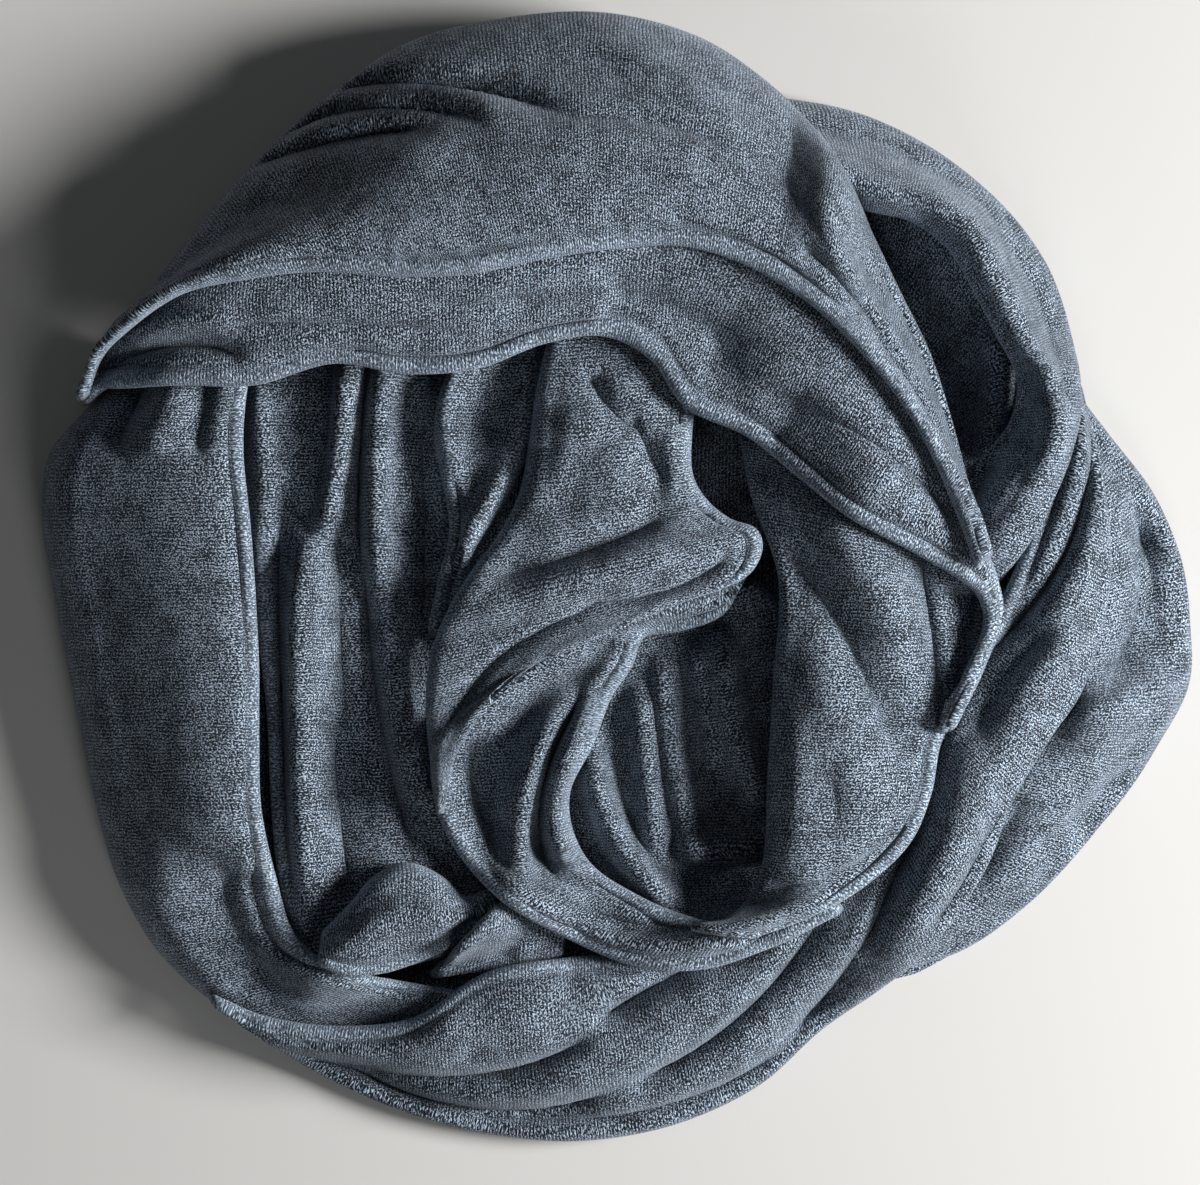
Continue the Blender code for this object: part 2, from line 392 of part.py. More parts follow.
def build_stretch(stretch, pile, collection):
    grid = lay(form_of(stretch), pile)
    rows, columns = grid.shape[:2]
    faces = [
        (i * columns + j, (i + 1) * columns + j, (i + 1) * columns + j + 1, i * columns + j + 1)
        for i in range(rows - 1)
        for j in range(columns - 1)
    ]
    piece = new_object(stretch.name, grid.reshape(-1, 3), faces, stretch.colour, collection)
    mesh = bmesh.new()
    mesh.from_mesh(piece.data)
    mesh.normal_update()
    if sum(face.normal.z * face.calc_area() for face in mesh.faces) < 0:
        bmesh.ops.reverse_faces(mesh, faces=mesh.faces)
    mesh.to_mesh(piece.data)
    mesh.free()
    wall = piece.modifiers.new("wall", "SOLIDIFY")
    wall.thickness = MM * WALL
    wall.offset = 1.0
    return piece


def core_radius(bearing):
    """The radius of the hidden layers' outline at a bearing in degrees."""
    lobes = sorted((lobe.bearing % 360, lobe.radius) for lobe in CORE_OUTLINE)
    bearings = [b - 360 for b, _ in lobes] + [b for b, _ in lobes] + [b + 360 for b, _ in lobes]
    return float(np.interp(bearing % 360, bearings, [r for _, r in lobes] * 3))


def core_height(x, y, inset):
    """The height of the hidden layers at a plan point that is this far in from their edge."""
    share = min(1.0, inset / CORE_SHOULDER)
    height = CORE_EDGE[-1].height + (CORE_TOP - CORE_EDGE[-1].height) * math.sin(share * math.pi / 2)
    for hollow in CORE_HOLLOWS:
        turn = math.radians(hollow.turn)
        across = (x - hollow.x) * math.cos(turn) + (y - hollow.y) * math.sin(turn)
        along = (y - hollow.y) * math.cos(turn) - (x - hollow.x) * math.sin(turn)
        size = (2 * across / hollow.wide) ** 2 + (2 * along / hollow.long) ** 2
        height -= hollow.depth * math.exp(-size * size)
    return max(height, 3.0)


def build_core(pile, collection):
    """The layers in the middle that no one sees, as one rounded solid."""
    bearings = [360 * k / CORE_SIDES for k in range(CORE_SIDES)]
    edge_in = CORE_EDGE[-1].inset
    rings = [[(layer.inset, layer.height) for _ in bearings] for layer in CORE_EDGE]
    points = []
    for ring in rings:
        for bearing, (inset, height) in zip(bearings, ring):
            radius = core_radius(bearing) - inset
            turn = math.radians(bearing)
            points.append((radius * math.cos(turn), radius * math.sin(turn), height))
    for ring in range(1, CORE_RINGS + 1):
        share = 1 - ring / (CORE_RINGS + 1)
        for bearing in bearings:
            outer = core_radius(bearing) - edge_in
            turn = math.radians(bearing)
            x, y = share * outer * math.cos(turn), share * outer * math.sin(turn)
            points.append((x, y, core_height(x, y, outer * (1 - share))))
    count = len(CORE_EDGE) + CORE_RINGS
    middle_top = len(points)
    points.append((0, 0, core_height(0, 0, CORE_SHOULDER)))
    middle_bottom = len(points)
    points.append((0, 0, 0))
    faces = []
    for side in range(CORE_SIDES):
        after = (side + 1) % CORE_SIDES
        for ring in range(count - 1):
            low, high = ring * CORE_SIDES, (ring + 1) * CORE_SIDES
            faces.append((low + side, low + after, high + after, high + side))
        last = (count - 1) * CORE_SIDES
        faces.append((last + side, last + after, middle_top))
        faces.append((after, side, middle_bottom))
    piece = new_object("hidden_layers", points, faces, (0.07, 0.08, 0.095), collection)
    cage = np.array(points[:count * CORE_SIDES]).reshape(count, CORE_SIDES, 3)
    cage = np.concatenate([cage, cage[:, :1]], axis=1)
    cage = np.concatenate([cage, np.broadcast_to(points[middle_top], (1, CORE_SIDES + 1, 3))])
    spots, _, high = quad_samples(cage)
    pile.add(spots[..., 0].ravel(), spots[..., 1].ravel(), high.ravel() + CORE_CLEAR)
    return piece


def build_scarf():
    for old in list(bpy.data.objects):
        bpy.data.objects.remove(old, do_unlink=True)
    collection = bpy.data.collections.new("infinity_scarf")
    bpy.context.scene.collection.children.link(collection)
    pile = Pile()
    build_core(pile, collection)
    for stretch in STRETCHES:
        build_stretch(stretch, pile, collection)


build_scarf()
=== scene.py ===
"""Infinity scarf heaped on a table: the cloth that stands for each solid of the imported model.

Each stretch of the scarf is a thin wall of jersey with rolled edges. It is drawn from a table of sections,
creased along the lines of a second table, and laid on everything beneath it, from the lowest stretch to the
highest.
"""

import math
from collections import namedtuple

import bpy
import numpy as np
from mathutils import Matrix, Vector, noise


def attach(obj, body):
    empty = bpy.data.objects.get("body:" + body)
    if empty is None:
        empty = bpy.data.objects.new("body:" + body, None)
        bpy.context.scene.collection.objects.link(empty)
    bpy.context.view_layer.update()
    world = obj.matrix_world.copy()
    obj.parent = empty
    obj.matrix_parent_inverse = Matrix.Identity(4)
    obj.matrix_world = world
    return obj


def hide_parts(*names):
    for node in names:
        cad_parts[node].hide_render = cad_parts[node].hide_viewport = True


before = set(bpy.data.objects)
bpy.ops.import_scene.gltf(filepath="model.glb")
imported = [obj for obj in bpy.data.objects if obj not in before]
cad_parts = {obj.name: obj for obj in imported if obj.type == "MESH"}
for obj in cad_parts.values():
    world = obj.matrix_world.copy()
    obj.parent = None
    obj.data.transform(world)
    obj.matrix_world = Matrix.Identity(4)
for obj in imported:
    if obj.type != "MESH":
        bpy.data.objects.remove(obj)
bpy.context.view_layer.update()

bl_info = {
    "name": "Infinity Scarf",
    "version": (1, 0, 0),
    "blender": (4, 5, 0),
    "location": "View3D > Sidebar > Scarf",
    "description": "A heaped infinity scarf of heather jersey",
    "category": "Add Mesh",
}

MM = 0.001

# How the cloth is laid, in millimetres.
GAP = 0.9  # air between stretches that rest on each other
FOOT = 1.3  # height of the line that the lowest hanging edges are drawn to
TUCK = 2.5  # how far a hanging edge turns in at its foot
RIM = 2.3  # roll of an open edge, where the doubled cloth turns back
RETURN = 6.0  # how far the cloth runs back under an open edge
HANGING = 15.0  # an edge with a longer drop than this hangs as a wall
LEAST_ROLL_POINTS = 5  # points round a rolled edge, at least
ROLL_DENSITY = 1.4  # points round a roll in each step of its height
ROLL_TRADE = 1.6  # points round the rolls that stand for one point between them
HIDDEN_POINTS = 10  # points from the hidden end of an edge to its outermost line
RETURN_POINTS = 4  # those of them on the cloth that runs back under an open edge
LEAST_WALL = 2.0  # least height of a hanging wall
EDGE_ROUNDS = 120  # times the line that an edge rests on is evened out
LINE_ROUNDS = 8  # times that line is smoothed at the end
WIDE_ROLL = 0.68  # most of a stretch's width that a hanging edge rolls over
HANGING_ROLL = 62.0  # degrees that a hanging edge rolls over
WIDE_TUCK = 0.3  # most of the width that an edge turns in or runs back by
WIDE_OPEN_ROLL = 0.45  # most of the width that an open edge rolls over
WIDE_RIM = 0.2  # most of the width that an open edge's turned rim takes
HELD_RIM = 3.0  # width of an edge's rim, on which folds die away
RIM_DEPTH = 2.3  # depth of the trough beside a double rim
RIM_TROUGH = 1.25  # its half width
RIM_UNEVEN = 0.35  # share by which the trough's depth varies
RIM_WAVE = 17.0  # length along the cloth over which it does
RIM_WANDER = 0.3  # how much of that the trough's place takes, as a power
EDGE_HIGHLIGHT_REACH = 2.6  # how far in from an open edge the painted highlight reaches
CLOSE = 0.55  # how far a trough's sides close over it, as a share of its width
CELL = 1.0  # a square of the plan grid that the stretches are laid on
REACH = 1.9  # how far round a point that grid is searched for what lies beneath
HALF_PLAN = 190.0  # half the side of that grid
SOFTEN = 60  # times the lift over what lies beneath is evened out
END_TURN = 2.0  # how far past its last section the cloth goes as it turns down
END_DROP = 5.0  # how far down it turns there
FOLD_PIECES = 16  # straight pieces that a fold's line is measured along
FOLD_FADE = 0.26  # share of a fold's length over which it dies away at each end
BULGE_POWER = 1.2  # how flat the rise between a section's edges is
SEED_STEP = 11.7  # between the seeds of two stretches' waves

Section = namedtuple(
    "Section", "left_x left_y left_z left_round right_x right_y right_z right_round crown"
)
Fold = namedtuple("Fold", "x0 y0 x1 y1 x2 y2 height left right lean", defaults=(0,))
Stretch = namedtuple("Stretch", "name left_drop right_drop left_rim right_rim wave sections folds")
Hollow = namedtuple("Hollow", "x y wide long turn depth")
Cut = namedtuple("Cut", "width length")
Lobe = namedtuple("Lobe", "bearing radius")
Wave = namedtuple("Wave", "height along across seed")
Lamp = namedtuple("Lamp", "place target size colour")

# The uneven waves of the lying cloth: one over the heap as seen from above, then two on the cloth itself.
PLAN_WAVE = Wave(0.55, 21, 21, 0)
CLOTH_WAVES = (Wave(0.60, 55, 8.5, 7.3), Wave(0.24, 24, 3.8, 3.1))

# The lights, in metres.
LAMPS = {
    "key": Lamp((1.16, -0.04, 0.76), (0.02, 0, 0.02), 0.55, (0.97, 0.985, 1.0)),
    "front": Lamp((0.30, -1.15, 0.85), (0, 0, 0.02), 0.5, (0.94, 0.97, 1.0)),
    "fill": Lamp((-0.3, 0.5, 1.6), (0, 0, 0.02), 1.2, (0.93, 0.96, 1.0)),
}
ROOM_COLOUR = (0.86, 0.93, 1.0, 1.0)
TABLE_HALF = 3.0  # half the side of the table, in metres

# The hidden layers, in millimetres and degrees: their outline from above, then their heights and hollows.
CORE_OUTLINE = (
    Lobe(0, 155), Lobe(8, 147), Lobe(17, 135), Lobe(24, 133), Lobe(32, 140), Lobe(45, 145), Lobe(58, 142),
    Lobe(70, 136), Lobe(79, 143), Lobe(92, 151), Lobe(107, 155), Lobe(120, 151), Lobe(131, 148),
    Lobe(146, 147), Lobe(156, 153), Lobe(172, 157), Lobe(187, 150), Lobe(201, 152), Lobe(215, 159),
    Lobe(228, 158), Lobe(241, 155), Lobe(254, 154), Lobe(270, 151), Lobe(285, 140), Lobe(294, 132),
    Lobe(299, 139), Lobe(307, 147), Lobe(316, 152), Lobe(326, 155), Lobe(334, 156), Lobe(342, 152),
    Lobe(350, 155),
)
CORE_EDGE = 13.0  # height of their edge
CORE_TOP = 20.0
CORE_LEAST = 3.0  # least height in a hollow
CORE_SHOULDER = 62.0  # how far in from the edge the hidden layers reach their full height
CORE_INSET = 5.5  # how far in their top starts
CORE_BEARINGS = 420  # points in each ring round them
CORE_PLIES = 5  # folded layers that show at their edge
PLY_RINGS = 6  # rings over the edge of each
TOP_RINGS = 40  # rings from there to the middle
CORE_HOLLOWS = (
    Hollow(20, -56, 60, 88, 8, 17), Hollow(90, 66, 62, 92, -28, 17), Hollow(147, -8, 20, 34, 0, 12),
    Hollow(-98, -50, 12, 62, 0, 10), Hollow(-66, -112, 34, 14, 8, 12),
)

# The flat size of what shows of each stretch of the tube, across it and along it.
CUTS = {
    "left_inner_pleats": Cut(105, 200), "left_stretch": Cut(80, 250), "inner_pocket": Cut(40, 100),
    "lower_left_curl": Cut(40, 65), "curl_tails": Cut(40, 50), "hood_lining": Cut(60, 110),
    "far_right_stretch": Cut(55, 230), "front_right_stretch": Cut(58, 430), "outer_right_loop": Cut(55, 220),
    "centre_hollow": Cut(90, 125), "inner_loop": Cut(48, 250), "rosette": Cut(65, 175),
    "centre_panel": Cut(75, 175), "crown_lip": Cut(50, 370), "crown_stretch": Cut(75, 450),
}

# The stretches, lowest first. A section gives each edge's place, height and roll, and the rise between them.
STRETCHES = (
    Stretch("left_inner_pleats", 8, 8, 0, 0, 0.9, (
        Section(-44, 70, 23, 4, -104, 70, 21, 4, 0), Section(-50, 48, 24, 4, -106, 48, 21, 4, 0),
        Section(-48, 26, 24, 4, -106, 26, 20, 4, 0), Section(-47, 4, 24, 4, -104, 4, 19, 4, 0),
        Section(-50, -18, 24, 4, -102, -18, 18, 4, 1), Section(-51, -42, 23, 4, -100, -40, 17, 4, 2),
        Section(-47, -64, 21, 4, -99, -62, 15, 4, 3), Section(-38, -82, 19, 4, -97, -84, 13, 4, 3),
        Section(-31, -92, 15, 4, -92, -104, 9, 4, 2), Section(-34, -102, 11, 4, -84, -116, 6, 4, 1)),
        (Fold(-79, 70, -80.5, 38, -88.5, 6, 10, 7, 1.4), Fold(-88.5, 16, -92, -34, -88.5, -112, 12, 9, 1.5),
         Fold(-70, 70, -74, 34, -73, 0, -10, 2, 2.2), Fold(-72.5, 10, -69, -34, -58, -82, -9, 2.2, 2.4),
         Fold(-66, 70, -69, 28, -67, -14, 9, 3.4, 3.4), Fold(-66, 0, -61, -40, -50, -74, 5, 3, 5),
         Fold(-57, 60, -55, 14, -56, -30, -8, 5, 5), Fold(-79, 44, -81, 0, -78, -50, -3, 4, 4),
         Fold(-98, 30, -97, -30, -95, -96, -13, 4, 3.5), Fold(-82, -30, -81, -66, -74, -98, -3, 4, 5),
         Fold(-104, 62, -101, 30, -97, 0, 3, 3, 3))),
    Stretch("left_stretch", 10, 40, 2.8, 0, 0.7, (
        Section(-103, 72, 30, 4, -139, 64, 8, 12, 2), Section(-107, 54, 36, 4, -153.5, 48.5, 7, 20, 1),
        Section(-108, 36, 38, 4, -164.3, 35, 7, 24, 1), Section(-106, 16, 39, 4, -166, 17, 6, 24, 1),
        Section(-104.5, -4, 39, 4, -163, -2, 6, 24, 1), Section(-103.5, -25, 39, 4, -159, -24, 6, 24, 1),
        Section(-103.5, -46, 38, 4, -154.5, -46, 6, 24, 1), Section(-103, -66, 36, 4, -150.5, -66, 6, 22, 2),
        Section(-99, -86, 31, 4, -144, -88, 6, 20, 1), Section(-94, -102, 24, 4, -134, -106, 6, 18, 0),
        Section(-82, -112, 19, 4, -120, -120, 6, 16, -2), Section(-64, -117, 16, 4, -101, -132, 5, 13, -2),
        Section(-46, -120, 13, 4, -78, -138, 5, 8, -1)),
        (Fold(-134, 57, -139, 46, -145, 33, -6, 4, 4), Fold(-116, 60, -118, 47, -121, 31, -5, 4, 5),
         Fold(-126, 58, -130, 46, -134, 34, 2.5, 4, 4), Fold(-108, -76, -110, -98, -86, -120, -8, 12, 10),
         Fold(-152, 44, -158, 20, -156, -8, 2, 12, 9), Fold(-132, -70, -128, -100, -104, -124, 2.5, 7, 7))),
    Stretch("inner_pocket", 6, 6, 0, 3.0, 0.8, (
        Section(-20, 72, 34, 3, -41, 70, 34, 3, -2), Section(-23, 56, 34, 3, -49, 55, 35, 3, -4),
        Section(-25, 42, 36, 3, -51.5, 42, 35, 3, -5), Section(-31, 26, 38, 3, -49.5, 30, 35, 3, -2),
        Section(-40, 10, 39, 3, -47, 14, 36, 3, 1), Section(-44, -2, 38, 3, -50, 0, 36, 3, 1),
        Section(-49, -16, 36, 3, -53, -14, 34, 3, 0)),
        (Fold(-44, 62, -50, 46, -43, 20, 4, 2.5, 2.5), Fold(-28, 32, -38, 18, -48, -4, 3, 4, 4))),
    Stretch("lower_left_curl", 10, 10, 0, 2.6, 0.8, (
        Section(-83, -101, 22, 4, -84, -110, 20, 3, 0), Section(-76, -94, 24, 6, -78, -112, 21, 4, 3),
        Section(-69, -86, 26, 7, -68, -112, 22, 4, 5), Section(-60, -82.5, 27, 7, -58, -109, 23, 4, 6),
        Section(-51, -86, 27, 7, -49, -105, 24, 4, 5), Section(-44, -92, 26, 4, -41, -100, 24, 4, 2),
        Section(-37, -90, 25, 3, -34, -98, 24, 3, 1)),
        (Fold(-80, -108, -62, -105, -44, -97, 2.5, 2, 3),)),
    Stretch("curl_tails", 5, 5, 0, 0, 1.0, (
        Section(-42, -102, 21, 3, -52, -114, 15, 3, 0), Section(-34, -94, 23, 3, -38, -112, 19, 3, 0),
        Section(-25, -90, 25, 3, -28, -111, 20, 3, 0), Section(-16, -92, 25, 3, -17, -108, 20, 3, 0)),
        (Fold(-24, -92, -33, -101, -43, -109, 3.5, 3, 3), Fold(-18, -97, -24, -103, -31, -110, 3.5, 3, 3))),
    Stretch("hood_lining", 3, 3, 0, 0, 1.2, (
        Section(60, 118, 16, 3, 66, 92, 14, 3, 0), Section(84, 112, 8, 3, 74, 78, 7, 3, -2),
        Section(104, 98, 6, 3, 80, 62, 5, 3, -2), Section(119, 78, 9, 3, 86, 48, 5, 3, -2),
        Section(124, 56, 14, 3, 92, 36, 5, 3, -4), Section(119, 36, 22, 3, 98, 24, 13, 3, 0)),
        (Fold(80, 92, 90, 68, 98, 34, 5, 4, 5), Fold(106, 74, 109, 54, 103, 32, 8, 5, 2.5),
         Fold(114, 72, 115, 54, 109, 36, -5, 3, 3))),
    Stretch("far_right_stretch", 40, 4, 0, 0, 1.0, (
        Section(129, 58, 7, 8, 120, 42, 16, 4, 2), Section(143, 40, 6, 10, 128, 26, 18, 4, 3),
        Section(155, 24, 6, 12, 131, 10, 20, 4, 4), Section(163, 5, 6, 13, 130, -8, 20, 4, 5),
        Section(165.5, -14, 6, 13, 127, -22, 20, 4, 6), Section(165, -31, 6, 13, 121, -35, 20, 4, 7),
        Section(156, -48, 7, 12, 112, -45, 21, 4, 7), Section(146, -63, 9, 9, 102, -55, 22, 4, 6),
        Section(132, -79, 9, 8, 92, -68, 21, 4, 5), Section(117, -94, 9, 7, 80, -80, 19, 4, 5),
        Section(100, -106, 9, 6, 68, -92, 17, 4, 4), Section(82, -112, 8, 6, 56, -102, 14, 4, 2)),
        (Fold(146, 26, 150, -6, 136, -36, -15, 10, 9), Fold(163, -31, 146, -35, 124, -43, 6, 12, 4),
         Fold(118, -60, 108, -76, 92, -96, -5, 5, 7), Fold(150, 30, 158, 12, 160, -10, 3, 4, 4),
         Fold(150, -50, 134, -64, 112, -84, -3, 5, 6), Fold(134, -58, 122, -76, 104, -92, 3, 5, 6))),
    Stretch("front_right_stretch", 8, 40, 3.2, 0, 1.0, (
        Section(-116, -121.5, 7, 1.5, -115, -123, 5, 1.5, 0),
        Section(-101, -127.5, 10, 2, -101, -133, 5, 3, 0), Section(-80, -130, 17, 4, -83, -145, 5, 7, 1),
        Section(-58, -127, 22, 4, -58, -155.5, 5, 12, 2), Section(-37, -114, 26, 4, -34, -161, 5, 15, 3),
        Section(-14, -110, 27, 4, -10, -162.5, 5, 16, 4), Section(10, -109, 27, 4, 16, -158, 5, 16, 4),
        Section(32, -105, 28, 4, 40, -147, 5, 15, 4), Section(50, -96, 30, 4, 58, -131, 6, 13, 4),
        Section(66, -85, 31, 4, 75, -118, 10, 10, 4), Section(78, -72, 33, 4, 91, -102, 18, 6, 4),
        Section(86, -57, 34, 4, 104, -83, 24, 5, 4), Section(92, -42, 34, 4, 112, -63, 27, 5, 4),
        Section(99, -29, 34, 4, 122, -46, 29, 5, 4), Section(107, -14, 34, 4, 133, -29, 29, 5, 4),
        Section(115, 3, 33, 4, 139.5, -6, 28, 5, 4), Section(122, 22, 29, 4, 140, 13, 25, 5, 3),
        Section(128, 42, 25, 4, 137, 35, 21, 4, 2), Section(129, 60, 18, 4, 133, 54, 14, 4, 1)),
        (Fold(-96, -133, -45, -143, -2, -127, -12, 2.2, 5), Fold(-8, -129, 12, -116, 48, -102, -11, 2.2, 5),
         Fold(-96, -134, -40, -153.5, 6, -143, -12, 2.2, 4.5), Fold(-4, -147, 32, -128, 62, -91, -12, 2.2, 5),
         Fold(-62, -157, 10, -153, 54, -129, -9, 2, 4), Fold(44, -135, 68, -108, 90, -58, -11, 2.2, 5),
         Fold(134, 46, 128, 6, 98, -28, -10, 2.6, 3), Fold(126, -12, 112, -30, 100, -50, -6, 4, 5),
         Fold(132, -12, 122, -24, 104, -36, 4, 4, 5), Fold(98, -46, 95, -76, 72, -112, 3.5, 6, 6),
         Fold(-74, -137, -40, -146, 4, -136, 2.5, 4, 4), Fold(-60, -131, -30, -124, 10, -113, 2.5, 5, 6),
         Fold(104, -66, 98, -84, 84, -104, -3, 4, 4))),
    Stretch("outer_right_loop", 40, 34, 0, 0, 1.0, (
        Section(28, 140, 8, 12, 44, 104, 26, 5, 2), Section(52, 138, 6, 16, 60, 110, 32, 5, 4),
        Section(72, 133.5, 6, 16, 72, 106, 34, 4, 5), Section(92, 123.5, 6, 16, 84, 103, 36, 4, 6),
        Section(110, 109, 6, 16, 95, 95, 37, 4, 7), Section(122, 94, 6, 14, 103, 82, 37, 4, 7),
        Section(128.5, 79, 7, 14, 109, 70, 37, 4, 7), Section(131, 62, 12, 11, 115, 58, 36, 4, 6),
        Section(131, 48, 18, 8, 114, 46, 33, 4, 5), Section(128.5, 37, 22, 5, 108, 37, 29, 4, 4),
        Section(125, 27, 24, 4, 100, 29, 25, 4, 4), Section(118, 13, 24, 4, 94, 20, 23, 4, 3),
        Section(107, -3, 22, 4, 88, 8, 21, 4, 3)),
        (Fold(54, 128, 66, 113, 92, 104, 4, 4, 3), Fold(62, 131, 98, 121, 118, 88, -3, 9, 9),
         Fold(126, 54, 122, 34, 100, 12, 4, 4, 6), Fold(112, 34, 105, 25, 96, 12, -6, 3, 4),
         Fold(120, 44, 116, 28, 104, 12, -4, 3, 3), Fold(84, 110, 100, 104, 110, 84, 3, 5, 6))),
    Stretch("centre_hollow", 2, 2, 0, 0, 1.0, (
        Section(40, -2, 16, 3, -2, -12, 16, 3, -6), Section(54, -18, 12, 3, -8, -28, 11, 3, -5),
        Section(57, -36, 9, 3, -14, -46, 9, 3, -4), Section(56, -56, 8, 3, -19, -62, 8, 3, -3),
        Section(52, -76, 8, 3, -17, -77, 8, 3, -3), Section(44, -92, 12, 3, -6, -92, 12, 3, -2),
        Section(34, -103, 15, 3, 10, -103, 15, 3, 0)),
        (Fold(-9, -40, 0, -74, 22, -98, 13, 3, 4), Fold(6, -24, 9, -56, 13, -88, 9, 3, 4),
         Fold(13, -18, 15, -48, 24, -84, 8, 3.5, 3), Fold(30, -10, 33, -40, 45, -74, 9, 4, 5),
         Fold(22, -16, 25, -36, 30, -62, 5, 2.5, 2.5), Fold(14, -74, 30, -79, 46, -73, 8, 3, 3))),
    Stretch("inner_loop", 12, 10, 3.0, 3.4, 0.9, (
        Section(36, 4, 34, 3, 42, 12, 34, 3, 0), Section(30, -9, 34, 3, 34, 0, 35, 3, 0),
        Section(18, -14, 31, 3, 18, -6, 33, 3, 0), Section(7, -16, 29, 3, -2, -10, 32, 3, -1),
        Section(3, -25, 27, 3, -21, -20, 32, 3, -3), Section(-3, -34, 26, 3, -39, -33, 33, 3, -6),
        Section(-8, -47, 26, 3, -51, -47, 37, 3, -9), Section(-14.5, -60, 25, 3, -51.5, -62, 37, 3, -10),
        Section(-14, -72, 25, 3, -46, -76, 36, 3, -8), Section(-8, -83, 26, 3, -34, -89.5, 35, 3, -4),
        Section(4, -91, 27, 3, -16, -101, 33, 3, -1), Section(18, -97, 29, 3, 4, -109.5, 32, 3, 0),
        Section(30, -99, 31, 3, 24, -110.5, 31, 3, 0), Section(43, -96, 34, 3, 44, -104, 31, 3, 0),
        Section(58, -90, 36, 3, 62, -95, 32, 3, 0)),
        (Fold(-10, -28, -26, -62, -24, -93, 12, 1.6, 6), Fold(-2, -27, -17, -62, -10, -84, 8, 1.6, 2.6),
         Fold(-7, -32, -21.5, -62, -17, -90, -9, 2, 2), Fold(-42, -38, -42, -62, -30, -86, -5, 5, 5),
         Fold(-12, -98, 8, -104.5, 46, -101, 4, 2, 2), Fold(-14, -91, 8, -99, 42, -98.5, -4, 1.6, 1.6),
         Fold(-30, -30, -33, -52, -30, -74, 3, 6, 6), Fold(30, -3, 14, -9, -14, -17, 3, 2.5, 2.5))),
    Stretch("rosette", 9, 6, 3.4, 0, 1.0, (
        Section(24, 70, 38, 3, -18, 72, 36, 3, 2), Section(22, 56, 42, 3, -22, 54, 38, 4, 4),
        Section(20, 42, 45, 3, -24, 40, 40, 5, 5), Section(20, 30, 46, 3, -27, 24, 41, 5, 5),
        Section(24, 22, 46, 3, -33, 12, 42, 5, 4), Section(31, 16, 48, 3, -41, 1, 42, 5, 3),
        Section(38.5, 13, 49, 3, -47, -9, 42, 4, 3), Section(39.5, 7, 49, 3, -51, -18, 42, 4, 3),
        Section(34.5, 0.5, 49, 3, -53, -27, 42, 4, 3), Section(20, -5, 49, 3, -53.5, -35, 42, 4, 3),
        Section(4, -8.5, 49, 3, -53.3, -42, 42, 4, 2), Section(-12, -13.5, 48, 3, -52.6, -48.5, 42, 4, 2),
        Section(-26, -21.5, 47, 3, -52, -54, 41, 4, 1), Section(-38, -31, 45, 3, -51.3, -59, 40, 3, 0),
        Section(-46, -42, 42, 3, -50.8, -63, 38, 3, 0), Section(-48.5, -52, 38, 2.5, -50.6, -66, 36, 2.5, 0)),
        (Fold(-40, -1, -14, 5, 17, 19, -8, 4, 3), Fold(-46, -12, -16, -3, 26, 11, 3, 5, 4),
         Fold(-14, -6, 12, -4, 33, 8, -5, 2.5, 2.5), Fold(-8, 60, -4, 50, 6, 38, -5, 4, 4),
         Fold(17, 46, 19, 30, 31, 21, 4, 3, 4), Fold(-47, -46, -34, -23, 0, -5.5, -3, 2, 2.5),
         Fold(-12, 50, -16, 34, -30, 12, 3, 5, 7), Fold(4, 52, 8, 36, 16, 28, -4, 3, 4),
         Fold(-2, 34, 6, 26, 16, 22, -2.5, 4, 3))),
    Stretch("centre_panel", 7, 16, 3.0, 0, 0.8, (
        Section(95, 26, 35, 4, 36, 40, 36, 4, 3), Section(101, 8, 36, 4, 39, 24, 40, 5, 5),
        Section(104, -5, 37, 4, 46, 4, 43, 6, 5), Section(103, -17, 38, 4, 47, -10, 44, 6, 6),
        Section(98, -32, 38, 4, 45.5, -26, 44, 6, 6), Section(91, -46, 38, 4, 44.5, -43, 44, 6, 6),
        Section(88, -61, 38, 4, 43.5, -60, 43, 6, 6), Section(82, -75, 37, 4, 43, -76, 42, 6, 5),
        Section(69, -87, 36, 4, 40, -89, 41, 5, 4), Section(53, -95.5, 35, 4, 32, -97, 38, 4, 2),
        Section(38, -101, 33, 3, 22, -99, 34, 3, 1)),
        (Fold(46, 12, 64, -16, 80, -60, -7, 8, 7), Fold(86, 14, 88, -10, 93, -40, -6, 1.8, 4),
         Fold(54, 22, 72, 0, 86, -30, 4, 7, 7), Fold(48, -30, 50, -60, 46, -84, 2.5, 4, 7),
         Fold(40, -86, 60, -84, 84, -64, -2.5, 4, 5), Fold(58, -50, 62, -70, 54, -88, -2.5, 5, 5))),
    Stretch("crown_lip", 4, 6, 0, 3.6, 0.9, (
        Section(-152, 55.5, 8, 2, -153, 51.5, 7, 2, 0), Section(-147, 63.5, 22, 3, -147.5, 55.5, 20, 3, 0),
        Section(-138, 74, 34, 3, -143, 55.5, 30, 3, 0),
        Section(-122, 82, 46, 3, -124, 56, 40, 3, 0), Section(-102, 88, 53, 3, -103, 56, 45, 3, 1),
        Section(-82, 90, 57, 3, -81, 62, 47, 3, 2), Section(-60, 89, 59, 3, -60, 59, 48, 3, 2),
        Section(-40, 90, 61, 3, -40, 60.5, 49, 3, 2), Section(-20, 94, 62, 3, -21, 67.5, 50, 3, 2),
        Section(-2, 97, 62, 3, -4, 69.5, 51, 3, 1), Section(18, 96, 62, 3, 10, 62.5, 51, 3, -2),
        Section(38, 90, 61, 3, 20, 49, 51, 3, -3), Section(56, 78, 60, 3, 37, 41, 51, 3, 0),
        Section(70, 64, 58, 3, 52, 29, 50, 3, 3), Section(82, 48, 55, 3, 66, 17.5, 48, 3, 4),
